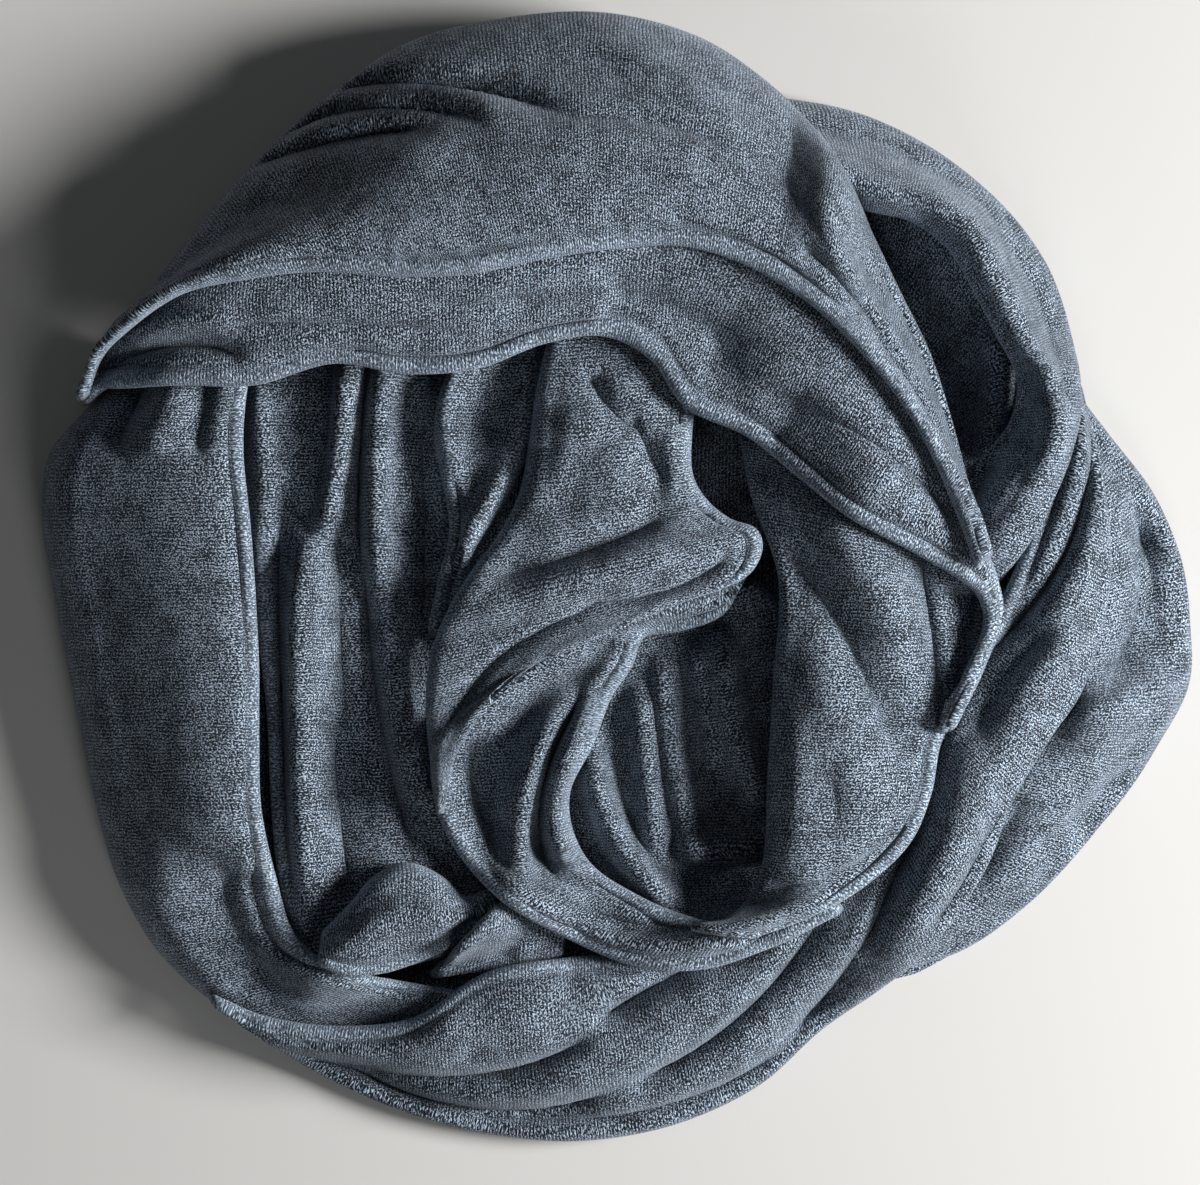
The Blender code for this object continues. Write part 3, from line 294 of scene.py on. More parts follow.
        Section(93, 30, 51, 3, 84, 8, 46, 3, 4), Section(101, 13, 46, 3, 97, 0.5, 42, 3, 2),
        Section(107, -1, 42, 2.5, 103, -5, 40, 2.5, 0), Section(108.5, -11, 41, 2.5, 104.5, -14, 39, 2.5, 0),
        Section(103, -25, 41, 2.5, 99, -27, 39, 2.5, 0), Section(95, -41, 41, 2, 92, -42, 39, 2, 0)),
        (Fold(-150, 57, -128, 66, -103, 62, -10, 4, 3.5), Fold(-142, 66.5, -125, 73, -107, 73.5, 3, 2, 3),
         Fold(-116, 72, -76, 72.5, -34, 69, -2.6, 1.5, 2), Fold(-8, 84, 14, 78, 40, 62, -4, 12, 12),
         Fold(44, 88, 62, 75, 80, 51, -4, 2.5, 5), Fold(38, 54, 72, 37, 103, 4, -4, 3, 6),
         Fold(30, 58, 56, 50, 88, 22, 3, 7, 7), Fold(-70, 83, -40, 79, -18, 84, -2, 4, 5),
         Fold(-96, 64, -80, 68, -56, 64, 2, 4, 4))),
    Stretch("crown_stretch", 60, 5, 0, 4.4, 1.0, (
        Section(-154, 53, 7, 2, -152.4, 54.5, 9, 2, 0), Section(-152, 60.5, 7, 6, -148.5, 63.5, 26, 4, 0),
        Section(-150, 67, 8, 16, -141, 70.5, 36, 3, 2), Section(-137, 80, 12, 24, -124, 81, 48, 3, 3),
        Section(-121, 100, 16, 30, -105, 85, 55, 3, 3), Section(-104, 119, 20, 30, -84, 87, 60, 3, 3),
        Section(-84, 137, 22, 31, -62, 85.5, 62, 3, 4), Section(-60, 153, 23, 31, -42, 86, 64, 3, 5),
        Section(-32, 160, 24, 31, -22, 90, 66, 3, 6), Section(-4, 161.5, 24, 31, -2, 93, 66, 3, 6),
        Section(22, 155, 24, 31, 17, 94, 66, 3, 5), Section(42, 142, 25, 30, 35, 89, 65, 3, 4),
        Section(56, 127, 27, 28, 51, 80, 63, 3, 4), Section(68, 106, 31, 23, 63, 70, 61, 3, 4),
        Section(79, 83, 34, 18, 74, 58, 59, 3, 3), Section(88, 64, 37, 12, 83, 46, 56, 3, 2),
        Section(94, 45, 40, 6, 90, 33, 52, 3, 2), Section(99, 26, 40, 5, 96, 19, 48, 3, 1),
        Section(104, 8, 40, 3, 101, 5, 44, 3, 0)),
        (Fold(-88, 137.5, -52, 140, -8, 127.5, -10, 2.6, 3.4), Fold(-80, 133, -52, 134.5, -22, 127, 3, 4, 4),
         Fold(-106, 120, -74, 133, -32, 127, -10, 2.4, 2.8),
         Fold(-100, 118, -76, 128.5, -48, 127.5, 2.5, 3, 3),
         Fold(-109, 114.5, -80, 124, -48, 126, -10, 2.4, 2.8), Fold(-112, 106, -80, 117, -36, 119, 4, 6, 9),
         Fold(-24, 128.5, 5, 127, 34, 120, -3, 3, 5), Fold(-14, 156, 34, 126, 70, 88, 4.5, 6, 8),
         Fold(28, 122, 54, 102, 78, 70, -2, 5, 6), Fold(50, 93, 67, 77, 91, 36, -5, 2, 2.6),
         Fold(58, 86, 75, 65, 97, 26, -5, 2, 2.6), Fold(70, 90, 86, 62, 102, 17, -4.5, 2, 2.6),
         Fold(-128, 84, -90, 100, -40, 100, 2.5, 10, 8))),
)


def smooth_rows(rows, places):
    """The rows of a table read at any places between them, on a curve that passes through each row."""
    table = np.array(rows, float)
    table = np.vstack([2 * table[0] - table[1], table, 2 * table[-1] - table[-2]])
    places = np.clip(np.asarray(places, float), 0, len(rows) - 1)
    start = np.minimum(places.astype(int), len(rows) - 2)
    t = (places - start)[:, None]
    before, first, second, after = (table[start + k] for k in range(4))
    return 0.5 * (
        2 * first
        + (second - before) * t
        + (2 * before - 5 * first + 4 * second - after) * t**2
        + (3 * first - before - 3 * second + after) * t**3
    )


def even_places(sections, step):
    """Places along a table of sections, about a step apart on the longer of the two edges."""
    fine = np.linspace(0, len(sections) - 1, 24 * len(sections))
    rows = smooth_rows(sections, fine)
    left = np.hypot(np.diff(rows[:, 0]), np.diff(rows[:, 1]))
    right = np.hypot(np.diff(rows[:, 4]), np.diff(rows[:, 5]))
    run = np.concatenate([[0], np.cumsum(np.maximum(left, right))])
    count = int(run[-1] / step) + 1
    return np.interp(np.linspace(0, run[-1], count), run, fine)


def edge_profile(height, roll, drop, foot, width, points):
    """How far in from the outermost line and how high each point of a section's edge is, from its hidden end
    to the end of its roll, then the slope that the roll ends with."""
    tuck = min(TUCK, WIDE_TUCK * width)
    if drop > HANGING:
        flat = min(roll, WIDE_ROLL * width)
        end = math.radians(HANGING_ROLL)
        bottom = max(foot, height - drop)
        height = max(height, bottom + LEAST_WALL)
        hidden = []
        for k in range(HIDDEN_POINTS):
            share = k / HIDDEN_POINTS
            hidden.append((tuck * (1 - share) ** 2, bottom + (height - bottom) * share))
    else:
        flat = min(roll, WIDE_OPEN_ROLL * width)
        end = math.radians(90)
        turn = min(RIM, roll, WIDE_RIM * width)
        height = max(height, foot + turn)
        back = min(RETURN, WIDE_TUCK * width)
        rim_points = HIDDEN_POINTS - RETURN_POINTS
        hidden = [(turn + back * (1 - k / RETURN_POINTS), height - turn) for k in range(RETURN_POINTS)]
        for k in range(rim_points):
            angle = math.radians(90 * (1 - k / rim_points))
            hidden.append((turn * (1 - math.cos(angle)), height - turn * math.sin(angle)))
    turns = [end * k / points for k in range(1, points + 1)]
    top = [(flat * (1 - math.cos(a)), height + roll * math.sin(a)) for a in turns]
    return hidden + [(0, height)] + top, roll / flat / math.tan(end)


def press_fold(fold, x, y, z, hold):
    """Lifts or sinks the cloth along a fold's line and leans it to the line's left, as hold lets it."""
    t = np.linspace(0, 1, FOLD_PIECES + 1)
    spread = (2 * t**2 - 3 * t + 1, 4 * t - 4 * t**2, 2 * t**2 - t)
    line_x = spread[0] * fold.x0 + spread[1] * fold.x1 + spread[2] * fold.x2
    line_y = spread[0] * fold.y0 + spread[1] * fold.y1 + spread[2] * fold.y2
    best = np.full(x.shape, np.inf)
    side = np.zeros(x.shape)
    place = np.zeros(x.shape)
    turn_x, turn_y = np.zeros(x.shape), np.zeros(x.shape)
    for k in range(FOLD_PIECES):
        dx, dy = line_x[k + 1] - line_x[k], line_y[k + 1] - line_y[k]
        length = math.hypot(dx, dy)
        along = ((x - line_x[k]) * dx + (y - line_y[k]) * dy) / length**2
        clipped = np.clip(along, 0, 1)
        off_x, off_y = x - line_x[k] - clipped * dx, y - line_y[k] - clipped * dy
        distance = np.hypot(off_x, off_y)
        closer = distance < best
        best = np.where(closer, distance, best)
        side = np.where(closer, np.sign(dx * off_y - dy * off_x), side)
        place = np.where(closer, (k + clipped) / FOLD_PIECES, place)
        turn_x, turn_y = np.where(closer, -dy / length, turn_x), np.where(closer, dx / length, turn_y)
    wide = np.where(side > 0, fold.left, fold.right)
    share = best / wide
    fade = np.clip(np.minimum(place, 1 - place) / FOLD_FADE, 0, 1)
    fade = fade * fade * (3 - 2 * fade) * hold
    bell = fade * np.exp(-(share**2))
    shift = fold.lean * bell
    if fold.height < 0:
        # The cloth on both sides of a trough closes over it.
        shift = shift - side * CLOSE * wide * share * bell
    return x + shift * turn_x, y + shift * turn_y, z + fold.height * bell


def wave_height(wave, along, across, seed):
    spot = Vector((along / wave.along, across / wave.across, seed + wave.seed))
    return wave.height * noise.noise(spot)


def drape_waves(grid, runs, seed):
    """Slow uneven waves along the cloth and finer ones across it, as a height for each point."""
    rise = np.zeros(grid.shape[:2])
    for i in range(grid.shape[0]):
        for j in range(grid.shape[1]):
            rise[i, j] = wave_height(PLAN_WAVE, grid[i, j, 0], grid[i, j, 1], seed)
            for wave in CLOTH_WAVES:
                rise[i, j] += wave_height(wave, runs[0][i, j], runs[1][i, j], seed)
    return rise


def cloth_runs(grid):
    """How far along and across the cloth each point is, in millimetres, from the middle of its section."""
    step = np.linalg.norm(np.diff(grid, axis=0), axis=2)
    along = np.concatenate([[0], np.cumsum(np.median(step, axis=1))])
    step = np.linalg.norm(np.diff(grid, axis=1), axis=2)
    across = np.concatenate([np.zeros((grid.shape[0], 1)), np.cumsum(step, axis=1)], axis=1)
    across -= across[:, grid.shape[1] // 2][:, None]
    return np.repeat(along[:, None], grid.shape[1], axis=1), across


class Pile:
    """The top of everything laid so far, on a square plan grid."""

    def __init__(self):
        self.count = int(2 * HALF_PLAN / CELL)
        self.top = np.zeros((self.count, self.count))

    def cells(self, x, y):
        return [np.clip(((v + HALF_PLAN) / CELL).astype(int), 0, self.count - 1) for v in (x, y)]

    def add(self, grid, wall):
        """Takes in a laid grid of points, and the same again between them."""
        for u in (0, 1 / 3, 2 / 3):
            for v in (0, 1 / 3, 2 / 3):
                spots = (
                    (1 - u) * (1 - v) * grid[:-1, :-1] + u * (1 - v) * grid[1:, :-1]
                    + (1 - u) * v * grid[:-1, 1:] + u * v * grid[1:, 1:]
                )
                i, j = self.cells(spots[..., 0], spots[..., 1])
                np.maximum.at(self.top, (i, j), spots[..., 2] + wall)

    def floor(self, x, y):
        """The lowest that cloth can lie at each plan point."""
        steps = int(math.ceil(REACH / CELL))
        i, j = self.cells(x, y)
        highest = np.zeros(x.shape)
        for a in range(-steps, steps + 1):
            for b in range(-steps, steps + 1):
                if math.hypot(a, b) * CELL <= REACH:
                    near = [np.clip(place, 0, self.count - 1) for place in (i + a, j + b)]
                    highest = np.maximum(highest, self.top[near[0], near[1]])
        return np.where(highest > 0, highest + GAP, FOOT)


def evened_line(line):
    padded = np.concatenate([line[:1], line, line[-1:]])
    return 0.25 * (padded[:-2] + 2 * line + padded[2:])


def eased_envelope(heights):
    """A smooth line along a stretch, kept to the given heights or over them until it is last smoothed."""
    line = heights
    for _ in range(EDGE_ROUNDS):
        line = np.maximum(heights, evened_line(line))
    for _ in range(LINE_ROUNDS):
        line = evened_line(line)
    return line


def form_of(stretch, pile, step, wall, waves, seed):
    """A stretch's grid of points, along it then across it, with the clearance that each needs and the painted
    highlight along its open edges.
    """
    rows = [Section(*row) for row in smooth_rows(stretch.sections, even_places(stretch.sections, step))]
    widths = [math.hypot(row.right_x - row.left_x, row.right_y - row.left_y) for row in rows]
    inner = max(4, int(max(widths) / step))
    ends = np.array(rows)
    left_floor, right_floor = (
        eased_envelope(pile.floor(ends[:, x], ends[:, y])) + wall for x, y in ((0, 1), (4, 5))
    )
    left_points, right_points = (
        max(LEAST_ROLL_POINTS, int(ROLL_DENSITY * ends[:, roll].max() / step)) for roll in (3, 7)
    )
    inner = max(4, inner - int((left_points + right_points) / ROLL_TRADE))
    grid, from_left = [], []
    for row, width, left_foot, right_foot in zip(rows, widths, left_floor, right_floor):
        left, rise = edge_profile(
            row.left_z, row.left_round, stretch.left_drop, left_foot, width, left_points
        )
        right, fall = edge_profile(
            row.right_z, row.right_round, stretch.right_drop, right_foot, width, right_points
        )
        right = [(width - q, z) for q, z in reversed(right)]
        (q0, z0), (q1, z1) = left[-1], right[0]
        rise, fall = rise * (q1 - q0), -fall * (q1 - q0)
        middle = []
        for k in range(1, inner):
            w = k / inner
            ease = w * w * (3 - 2 * w)
            slopes = rise * w * (1 - w) ** 2 - fall * w * w * (1 - w)
            bulge = row.crown * math.sin(math.pi * w) ** BULGE_POWER
            middle.append((q0 + (q1 - q0) * w, z0 + (z1 - z0) * ease + slopes + bulge))
        step_x, step_y = (row.right_x - row.left_x) / width, (row.right_y - row.left_y) / width
        grid.append([
            (row.left_x + q * step_x, row.left_y + q * step_y, z) for q, z in left + middle + right
        ])
        from_left.append([q for q, _ in left + middle + right])
    grid, from_left = np.array(grid), np.array(from_left)
    from_right = np.array(widths)[:, None] - from_left
    top = slice(HIDDEN_POINTS, grid.shape[1] - HIDDEN_POINTS)
    runs = [run[:, top] for run in cloth_runs(grid)]
    from_left, from_right = from_left[:, top], from_right[:, top]
    nearest = np.minimum(from_left, from_right)
    hold = np.clip(nearest / HELD_RIM, 0, 1)
    x, y, z = (grid[:, top, k] for k in range(3))
    z = z + waves * stretch.wave * hold * drape_waves(grid[:, top], runs, seed)
    for rim, inward in ((stretch.left_rim, from_left), (stretch.right_rim, from_right)):
        if rim:
            uneven = 1 + RIM_UNEVEN * np.sin(runs[0] / RIM_WAVE + seed)
            beside = inward - rim * uneven**RIM_WANDER
            z = z - RIM_DEPTH * uneven * np.exp(-((beside / RIM_TROUGH) ** 2))
    for fold in stretch.folds:
        x, y, z = press_fold(fold, x, y, z, hold)
    grid[:, top] = np.stack([x, y, z], -1)
    # nap holds a painted highlight: 1 on each open edge's rim, dying away inward, which brightens the colour
    # there.
    clear, nap = np.zeros(grid.shape[:2]), np.zeros(grid.shape[:2])
    for drop, inward in ((stretch.left_drop, from_left), (stretch.right_drop, from_right)):
        if drop <= HANGING:
            nap[:, top] = np.maximum(nap[:, top], np.exp(-((inward / EDGE_HIGHLIGHT_REACH) ** 2)))
            over = np.clip(inward / RIM, 0, 1) * np.clip((2 * RETURN - inward) / RETURN, 0, 1)
            clear[:, top] = np.maximum(clear[:, top], (2 * RIM + wall) * over)
    return grid, clear, nap


def evened(lift):
    """A lift averaged with its neighbours along and across."""
    for axis in (0, 1):
        padded = np.concatenate([lift.take([0], axis), lift, lift.take([-1], axis)], axis)
        count = lift.shape[axis]
        lift = 0.25 * (
            padded.take(range(count), axis) + 2 * padded.take(range(1, count + 1), axis)
            + padded.take(range(2, count + 2), axis)
        )
    return lift


def lay(grid, clear, pile, wall):
    """The stretch lifted, where it must be, clear of what it lies on."""
    need = np.maximum(pile.floor(grid[..., 0], grid[..., 1]) + clear - grid[..., 2], 0)
    lift = need
    for _ in range(SOFTEN):
        lift = np.maximum(need, evened(lift))
    grid[..., 2] += np.maximum(need, evened(evened(lift)))
    ends = []
    for end, inner in ((0, 1), (-1, -2)):
        out = grid[end, :, :2] - grid[inner, :, :2]
        out *= END_TURN / np.maximum(np.hypot(out[:, :1], out[:, 1:]), END_TURN)
        place = grid[end, :, :2] + out
        down = np.maximum(grid[end, :, 2] - END_DROP, FOOT)
        ends.append(np.column_stack([place, down])[None])
    grid = np.concatenate([ends[0], grid, ends[1]])
    pile.add(grid, wall)
    return grid


class Sum:
    """A shader socket that Python's own operators write sums with."""

    def __init__(self, shader, socket):
        self.shader = shader
        self.socket = socket

    def join(self, operation, first, second):
        return self.shader.node("Math", {"operation": operation}, {0: first, 1: second})

    def __add__(self, other):
        return self.join("ADD", self, other)

    __radd__ = __add__

    def __sub__(self, other):
        return self.join("SUBTRACT", self, other)

    def __rsub__(self, other):
        return self.join("SUBTRACT", other, self)

    def __mul__(self, other):
        return self.join("MULTIPLY", self, other)

    __rmul__ = __mul__

    def __truediv__(self, other):
        return self.join("DIVIDE", self, other)


class Shader:
    """One material's nodes."""

    def __init__(self, name):
        self.material = bpy.data.materials.new(name)
        self.material.use_nodes = True
        self.nodes = self.material.node_tree.nodes
        self.links = self.material.node_tree.links
        self.surface = self.nodes["Principled BSDF"]

    def fill(self, node, values):
        for socket, value in values.items():
            if isinstance(value, Sum):
                self.links.new(value.socket, node.inputs[socket])
            else:
                node.inputs[socket].default_value = value

    def node(self, kind, settings, values, out=0):
        """A node of a type, with its settings, then its sockets' values or links."""
        made = self.nodes.new("ShaderNode" + kind)
        for setting, value in settings.items():
            setattr(made, setting, value)
        self.fill(made, values)
        return Sum(self, made.outputs[out])

    def ramp(self, value, low, high):
        """0 below low, 1 above high, and eased between."""
        settings = {"interpolation_type": "SMOOTHSTEP"}
        return self.node("MapRange", settings, {"Value": value, "From Min": low, "From Max": high})

    def clouds(self, place, scale, detail, roughness=0.5, distortion=0.0):
        """An uneven value, about 0.5."""
        return self.node("TexNoise", {}, {
            "Vector": place, "Scale": scale, "Detail": detail, "Roughness": roughness,
            "Distortion": distortion,
        })

    def ridges(self, turns):
        """A value that rises to 1 and falls to 0 once in each turn."""
        return 0.5 + 0.5 * self.node("Math", {"operation": "SINE"}, {0: turns * math.tau})


def jersey_material(name, shades, knit):
    """Heather jersey, whose wales run across the stretch, with pale flecks, a short nap and a highlight
    painted along open edges.
    """
    shader = Shader(name)
    place = shader.node("UVMap", {"uv_map": "ClothUV"}, {})
    parts = shader.node("SeparateXYZ", {}, {0: place}).socket.node
    along, across = Sum(shader, parts.outputs[0]), Sum(shader, parts.outputs[1])
    wander = shader.clouds(place, 90.0, 2.0)
    ply = along / knit.wale + 2.2 * (wander - 0.5)
    wale = shader.ridges(ply)
    course = shader.ridges(across / knit.course + 1.5 * ply)
    spot = {0: along / knit.wale, 1: across / (1.35 * knit.wale), 2: 0.0}
    loop = shader.node("CombineXYZ", {}, spot)
    fibre = shader.clouds(loop, 2.7, 2.0, 0.6, 0.2)
    lint = shader.clouds(loop, 0.9, 4.0, 0.7, 0.8)
    mottle = shader.clouds(place, 130.0, 3.0, 0.6)
    cloud = shader.clouds(place, 28.0, 2.0)
    heather = fibre + 0.20 * (lint - 0.5) + 0.16 * (mottle - 0.5) + 0.06 * (wale - 0.5)
    fleck = shader.ramp(heather, 0.495, 0.625)
    shade = fleck * (0.90 + 0.25 * (cloud - 0.5)) + 0.05 * (wale - 0.5)
    # Painted highlight: the colour is brightened along open edges, where light would catch the rolled rim.
    painted_edge_highlight = shader.node("Attribute", {"attribute_name": "nap"}, {}, out=2)
    shade = shade + painted_edge_highlight * (0.05 + 0.26 * fibre)
    ends = {0: shade, 6: (*shades.yarn, 1.0), 7: (*shades.fleck, 1.0)}
    colour = shader.node("Mix", {"data_type": "RGBA", "clamp_factor": True}, ends, out=2)
    height = 0.26 * wale + 0.16 * course * wale + 0.6 * fibre + 0.15 * lint
    bump = {"Strength": knit.relief, "Distance": knit.depth, "Height": height}
    relief = shader.node("Bump", {}, bump)
    shader.fill(shader.surface, {
        "Base Color": colour,
        "Roughness": 0.96 - 0.12 * fleck,
        "Normal": relief,
        "Metallic": 0.0,
        "Specular IOR Level": 0.18,
        "Sheen Weight": knit.nap,
        "Sheen Roughness": 0.42,
        "Sheen Tint": (0.72, 0.80, 0.92, 1.0),
    })
    return shader.material


class ScarfCloth(bpy.types.PropertyGroup):
    wall: bpy.props.FloatProperty(
        name="Wall", description="Thickness of the two flat layers of jersey", default=1.2 * MM, unit="LENGTH"
    )
    step: bpy.props.FloatProperty(
        name="Step", description="Distance between the points of the cloth", default=1.45 * MM, unit="LENGTH"
    )
    waves: bpy.props.FloatProperty(
        name="Waves", description="Strength of the slow uneven waves", default=1.0, subtype="FACTOR"
    )


class ScarfShades(bpy.types.PropertyGroup):
    yarn: bpy.props.FloatVectorProperty(
        name="Yarn",
        description="The dark yarn of the heather",
        default=(0.0085, 0.0105, 0.0140),
        subtype="COLOR",
    )
    fleck: bpy.props.FloatVectorProperty(
        name="Fleck",
        description="The pale fibres of the heather",
        default=(0.50, 0.60, 0.72),
        subtype="COLOR",
    )


class ScarfKnit(bpy.types.PropertyGroup):
    wale: bpy.props.FloatProperty(
        name="Wale", description="Width of one column of loops", default=1.05 * MM, unit="LENGTH"
    )
    course: bpy.props.FloatProperty(
        name="Course", description="Height of one row of loops", default=0.8 * MM, unit="LENGTH"
    )
    relief: bpy.props.FloatProperty(
        name="Relief", description="How far the loops show", default=0.95, subtype="FACTOR"
    )
    depth: bpy.props.FloatProperty(
        name="Depth", description="Depth of the loops", default=0.32 * MM, unit="LENGTH"
    )
    nap: bpy.props.FloatProperty(
        name="Nap", description="Strength of the short nap", default=0.32, subtype="FACTOR"
    )


class ScarfStage(bpy.types.PropertyGroup):
    view_x: bpy.props.FloatProperty(
        name="View X", description="Middle of the view", default=-5.1 * MM, unit="LENGTH"
    )
    view_y: bpy.props.FloatProperty(
        name="View Y", description="Middle of the view", default=-4.1 * MM, unit="LENGTH"
    )
    view_z: bpy.props.FloatProperty(
        name="View Z", description="Height at which the view's width is true", default=40 * MM, unit="LENGTH"
    )
    view_width: bpy.props.FloatProperty(
        name="View width", description="Width that the view takes in", default=342 * MM, unit="LENGTH"
    )
    distance: bpy.props.FloatProperty(
        name="Distance", description="Height of the camera over the heap", default=1.6, unit="LENGTH"
    )
    key: bpy.props.FloatProperty(
        name="Key light", description="Strength of the broad light from the right", default=36.0, unit="POWER"
    )
    front: bpy.props.FloatProperty(
        name="Front light", description="Strength of the soft light from the front", default=3.6, unit="POWER"
    )
    fill: bpy.props.FloatProperty(
        name="Fill light", description="Strength of the light from above", default=0.8, unit="POWER"
    )
    room: bpy.props.FloatProperty(
        name="Room", description="Strength of the light from all round", default=0.035, subtype="FACTOR"
    )
    table: bpy.props.FloatVectorProperty(
        name="Table", description="The pale floor", default=(0.62, 0.60, 0.57), subtype="COLOR"
    )


PILE = Pile()


def core_radius(bearing):
    """The radius of the hidden layers' outline at a bearing in degrees."""
    lobes = sorted((lobe.bearing % 360, lobe.radius) for lobe in CORE_OUTLINE)
    bearings = [b - 360 for b, _ in lobes] + [b for b, _ in lobes] + [b + 360 for b, _ in lobes]
    return float(np.interp(bearing % 360, bearings, [r for _, r in lobes] * 3))


def core_height(x, y, inset):
    """The height of the hidden layers at a plan point that is this far in from their edge."""
    share = min(1.0, inset / CORE_SHOULDER)
    height = CORE_EDGE + (CORE_TOP - CORE_EDGE) * math.sin(share * math.pi / 2)
    for hollow in CORE_HOLLOWS:
        turn = math.radians(hollow.turn)
        across = (x - hollow.x) * math.cos(turn) + (y - hollow.y) * math.sin(turn)
        along = (y - hollow.y) * math.cos(turn) - (x - hollow.x) * math.sin(turn)
        size = (2 * across / hollow.wide) ** 2 + (2 * along / hollow.long) ** 2
        height -= hollow.depth * math.exp(-size * size)
    return max(height, CORE_LEAST)


def new_object(name, data):
    made = bpy.data.objects.new(name, data)
    bpy.context.scene.collection.objects.link(made)
    return made


def new_piece(name, points, faces, runs, material):
    """A mesh, with how far along and across the cloth each point is as its UV map."""
    mesh = bpy.data.meshes.new(name)
    mesh.from_pydata((MM * points).tolist(), [], faces)
    mesh.shade_smooth()
    mesh.materials.append(material)
    layer = mesh.uv_layers.new(name="ClothUV")
    corners = np.empty(len(mesh.loops), np.int32)
    mesh.loops.foreach_get("vertex_index", corners)
    layer.data.foreach_set("uv", (MM * runs)[corners].ravel())
    return new_object(name, mesh)


def grid_quads(rows, columns, closed=False):
    """The quads of a grid of points, joined round across it where it is closed."""
    i, j = np.meshgrid(np.arange(rows - 1), np.arange(columns if closed else columns - 1), indexing="ij")
    after = (j + 1) % columns
    first, second = i * columns, (i + 1) * columns
    return np.stack([first + j, second + j, second + after, first + after], -1).reshape(-1, 4)


def join_frame(piece, node):
    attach(piece, "root")
    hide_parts(node)


def make_stretch(name, scene):
    """Builds and lays one stretch of the scarf."""
    index, stretch = next((k, s) for k, s in enumerate(STRETCHES) if s.name == name)
    cloth = scene.scarf_cloth
    wall = cloth.wall / MM
    seed = SEED_STEP * (index + 1)
    grid, clear, nap = form_of(stretch, PILE, cloth.step / MM, wall, cloth.waves, seed)
    grid = lay(grid, clear, PILE, wall)
    runs = np.stack([run.ravel() for run in cloth_runs(grid)], -1)
    quads = grid_quads(*grid.shape[:2])
    a, b, d = (grid.reshape(-1, 3)[quads[:, k]] for k in (0, 1, 3))
    if np.cross(b - a, d - a)[:, 2].sum() < 0:
        quads = quads[:, ::-1]
    material = jersey_material(name + "_jersey", scene.scarf_shades, scene.scarf_knit)
    piece = new_piece(name + "_cloth", grid.reshape(-1, 3), quads.tolist(), runs, material)
    # The nap attribute carries the painted highlight along open edges into the shader.
    nap = np.concatenate([nap[:1], nap, nap[-1:]])
    piece.data.attributes.new("nap", "FLOAT", "POINT").data.foreach_set("value", nap.ravel())
    shell = piece.modifiers.new("wall", "SOLIDIFY")
    shell.thickness = cloth.wall
    shell.offset = 1.0
    join_frame(piece, name)
    cut = CUTS[name]
    cut.width * MM
    return piece


def make_core(scene):
    """Builds the hidden layers, with the turned edges of their plies all round."""
    bearings = np.linspace(0, 360, CORE_BEARINGS, endpoint=False)
    rings = []
    for ply in range(CORE_PLIES):
        for k in range(PLY_RINGS):
            turn = math.pi * (k / PLY_RINGS - 0.5)
            height = CORE_EDGE * (ply + 0.5 + 0.48 * math.sin(turn)) / CORE_PLIES
            points = []
            for bearing in bearings:
                angle = math.radians(bearing)
                spot = Vector((2.1 * math.cos(angle), 2.1 * math.sin(angle), 3.7 * ply))
                inset = 2.2 + 2.4 * noise.noise(spot) + 2.2 * (1 - math.cos(turn)) + 0.5 * ply
                rise = 0.5 * noise.noise(2.3 * spot)
                radius = core_radius(bearing) - max(inset, 0.3)
                points.append((radius * math.cos(angle), radius * math.sin(angle), max(0.0, height + rise)))
            rings.append(points)
    rings[0] = [(x, y, 0.0) for x, y, _ in rings[0]]
    for ring in range(1, TOP_RINGS):
        part = 1 - ring / TOP_RINGS
        points = []
        for bearing in bearings:
            angle = math.radians(bearing)
            outer = core_radius(bearing) - CORE_INSET
            x, y = part * outer * math.cos(angle), part * outer * math.sin(angle)
            points.append((x, y, core_height(x, y, outer * (1 - part))))
        rings.append(points)
    grid = np.array(rings)
    count = CORE_BEARINGS
    points = np.concatenate([grid.reshape(-1, 3), [(0, 0, core_height(0, 0, CORE_SHOULDER)), (0, 0, 0)]])
    quads = grid_quads(grid.shape[0], count, closed=True).tolist()
    last, middle = (grid.shape[0] - 1) * count, grid.shape[0] * count
    for k in range(count):
        after = (k + 1) % count
        quads.append((last + k, middle, last + after))
        quads.append((k, after, middle + 1))
    faces = [tuple(reversed(quad)) for quad in quads]
    material = jersey_material("hidden_layers_jersey", scene.scarf_shades, scene.scarf_knit)
    piece = new_piece("hidden_layers_cloth", points, faces, points[:, :2], material)
    join_frame(piece, "hidden_layers")
    closed = np.concatenate([grid, grid[:, :1]], axis=1)
    PILE.add(closed, 0.3)
    return piece


def area_light(name, lamp, power):
    light = bpy.data.lights.new(name, "AREA")
    light.energy = power
    light.shape = "DISK"
    light.size = lamp.size
    light.color = lamp.colour
    placed = new_object(name, light)
    placed.location = lamp.place
    aim = Vector(lamp.target) - Vector(lamp.place)
    placed.rotation_euler = aim.to_track_quat("-Z", "Y").to_euler()


def make_stretches(scene, *names):
    for name in names:
        make_stretch(name, scene)
    return {"FINISHED"}


class SCARF_OT_hidden_layers(bpy.types.Operator):
    """Makes the hidden layers in the middle of the heap"""

    bl_idname = "scarf.hidden_layers"
    bl_label = "Hidden layers"

    def execute(self, context):
        make_core(context.scene)
        return {"FINISHED"}


class SCARF_OT_left_side(bpy.types.Operator):
    """Lays the smooth left side, its inner pleats, its pocket and the curl at its foot"""

    bl_idname = "scarf.left_side"
    bl_label = "Left side"

    def execute(self, context):
        return make_stretches(
            context.scene,
            "left_inner_pleats", "left_stretch", "inner_pocket", "lower_left_curl", "curl_tails",
        )


class SCARF_OT_right_loops(bpy.types.Operator):
    """Lays the lining seen inside the right loop and the stretch at the far right"""

    bl_idname = "scarf.right_loops"
    bl_label = "Right loops"

    def execute(self, context):
        return make_stretches(context.scene, "hood_lining", "far_right_stretch")


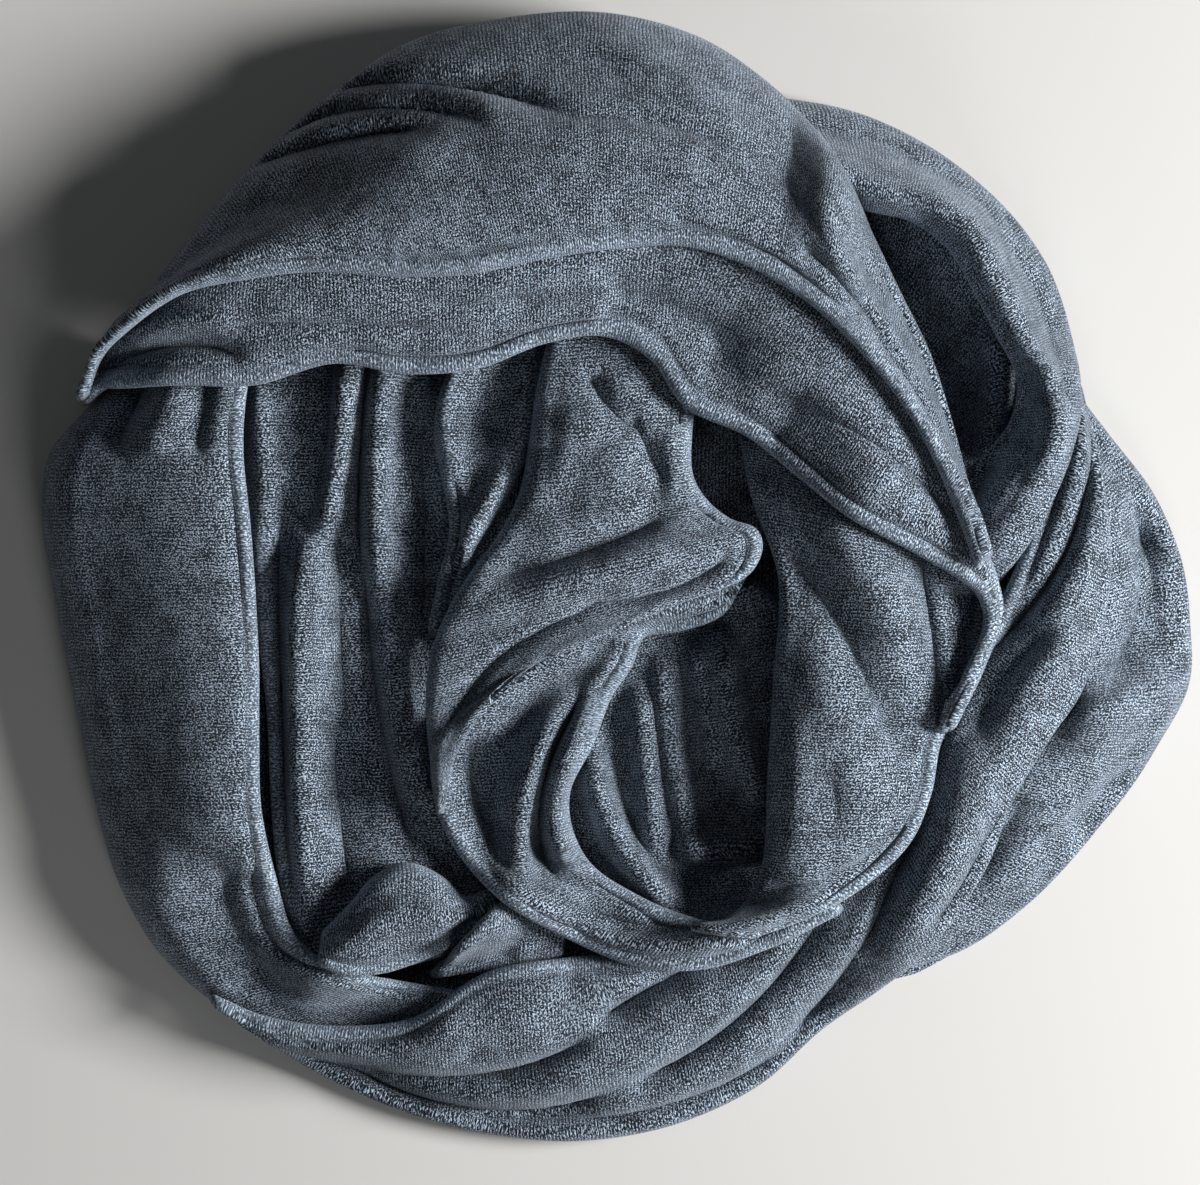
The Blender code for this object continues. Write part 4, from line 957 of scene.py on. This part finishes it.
class SCARF_OT_front_bands(bpy.types.Operator):
    """Lays the pleated stretch along the front and the loop up the right"""

    bl_idname = "scarf.front_bands"
    bl_label = "Front bands"

    def execute(self, context):
        return make_stretches(context.scene, "front_right_stretch", "outer_right_loop")


class SCARF_OT_centre(bpy.types.Operator):
    """Lays the hollow, the loop round it, the twisted face over it and the panel beside it"""

    bl_idname = "scarf.centre"
    bl_label = "Centre"

    def execute(self, context):
        return make_stretches(context.scene, "centre_hollow", "inner_loop", "rosette", "centre_panel")


class SCARF_OT_crown(bpy.types.Operator):
    """Lays the lip under the crown, then the crown over everything"""

    bl_idname = "scarf.crown"
    bl_label = "Crown"

    def execute(self, context):
        return make_stretches(context.scene, "crown_lip", "crown_stretch")


class SCARF_OT_stage(bpy.types.Operator):
    """Sets the pale table, the soft lights and the camera straight overhead"""

    bl_idname = "scarf.stage"
    bl_label = "Stage"

    def execute(self, context):
        scene = context.scene
        stage = scene.scarf_stage
        mesh = bpy.data.meshes.new("table")
        corners = [(TABLE_HALF * x, TABLE_HALF * y, 0) for x, y in ((-1, -1), (1, -1), (1, 1), (-1, 1))]
        mesh.from_pydata(corners, [], [(0, 1, 2, 3)])
        shader = Shader("pale_table")
        shader.fill(shader.surface, {"Base Color": (*stage.table, 1.0), "Roughness": 0.6})
        mesh.materials.append(shader.material)
        table = new_object("table", mesh)
        for name, lamp in LAMPS.items():
            area_light(name, lamp, getattr(stage, name))
        world = bpy.data.worlds.new("room")
        world.use_nodes = True
        background = world.node_tree.nodes["Background"]
        background.inputs["Color"].default_value = ROOM_COLOUR
        background.inputs["Strength"].default_value = stage.room
        scene.world = world
        scene.view_settings.view_transform = "Standard"
        lens = bpy.data.cameras.new("overhead")
        lens.sensor_width = 36.0
        lens.lens = 36.0 * stage.distance / stage.view_width
        lens.clip_start = 0.05
        lens.clip_end = 20.0
        camera = new_object("overhead", lens)
        camera.location = (stage.view_x, stage.view_y, stage.view_z + stage.distance)
        scene.camera = camera
        return {"FINISHED"}


MAKERS = (
    SCARF_OT_hidden_layers, SCARF_OT_left_side, SCARF_OT_right_loops, SCARF_OT_front_bands,
    SCARF_OT_centre, SCARF_OT_crown, SCARF_OT_stage,
)
GROUPS = {
    "scarf_cloth": ScarfCloth,
    "scarf_shades": ScarfShades,
    "scarf_knit": ScarfKnit,
    "scarf_stage": ScarfStage,
}


class SCARF_PT_panel(bpy.types.Panel):
    bl_label = "Infinity scarf"
    bl_idname = "SCARF_PT_panel"
    bl_space_type = "VIEW_3D"
    bl_region_type = "UI"
    bl_category = "Scarf"

    def draw(self, context):
        for maker in MAKERS:
            self.layout.operator(maker.bl_idname)
        for attribute, group in GROUPS.items():
            box = self.layout.box()
            for setting in group.__annotations__:
                box.prop(getattr(context.scene, attribute), setting)


def register():
    for attribute, group in GROUPS.items():
        bpy.utils.register_class(group)
        setattr(bpy.types.Scene, attribute, bpy.props.PointerProperty(type=group))
    for maker in MAKERS:
        bpy.utils.register_class(maker)
    bpy.utils.register_class(SCARF_PT_panel)


def unregister():
    bpy.utils.unregister_class(SCARF_PT_panel)
    for maker in reversed(MAKERS):
        bpy.utils.unregister_class(maker)
    for attribute, group in GROUPS.items():
        delattr(bpy.types.Scene, attribute)
        bpy.utils.unregister_class(group)


def main():
    register()
    for maker in MAKERS:
        group, name = maker.bl_idname.split(".")
        getattr(getattr(bpy.ops, group), name)()


if __name__ == "__main__":
    main()
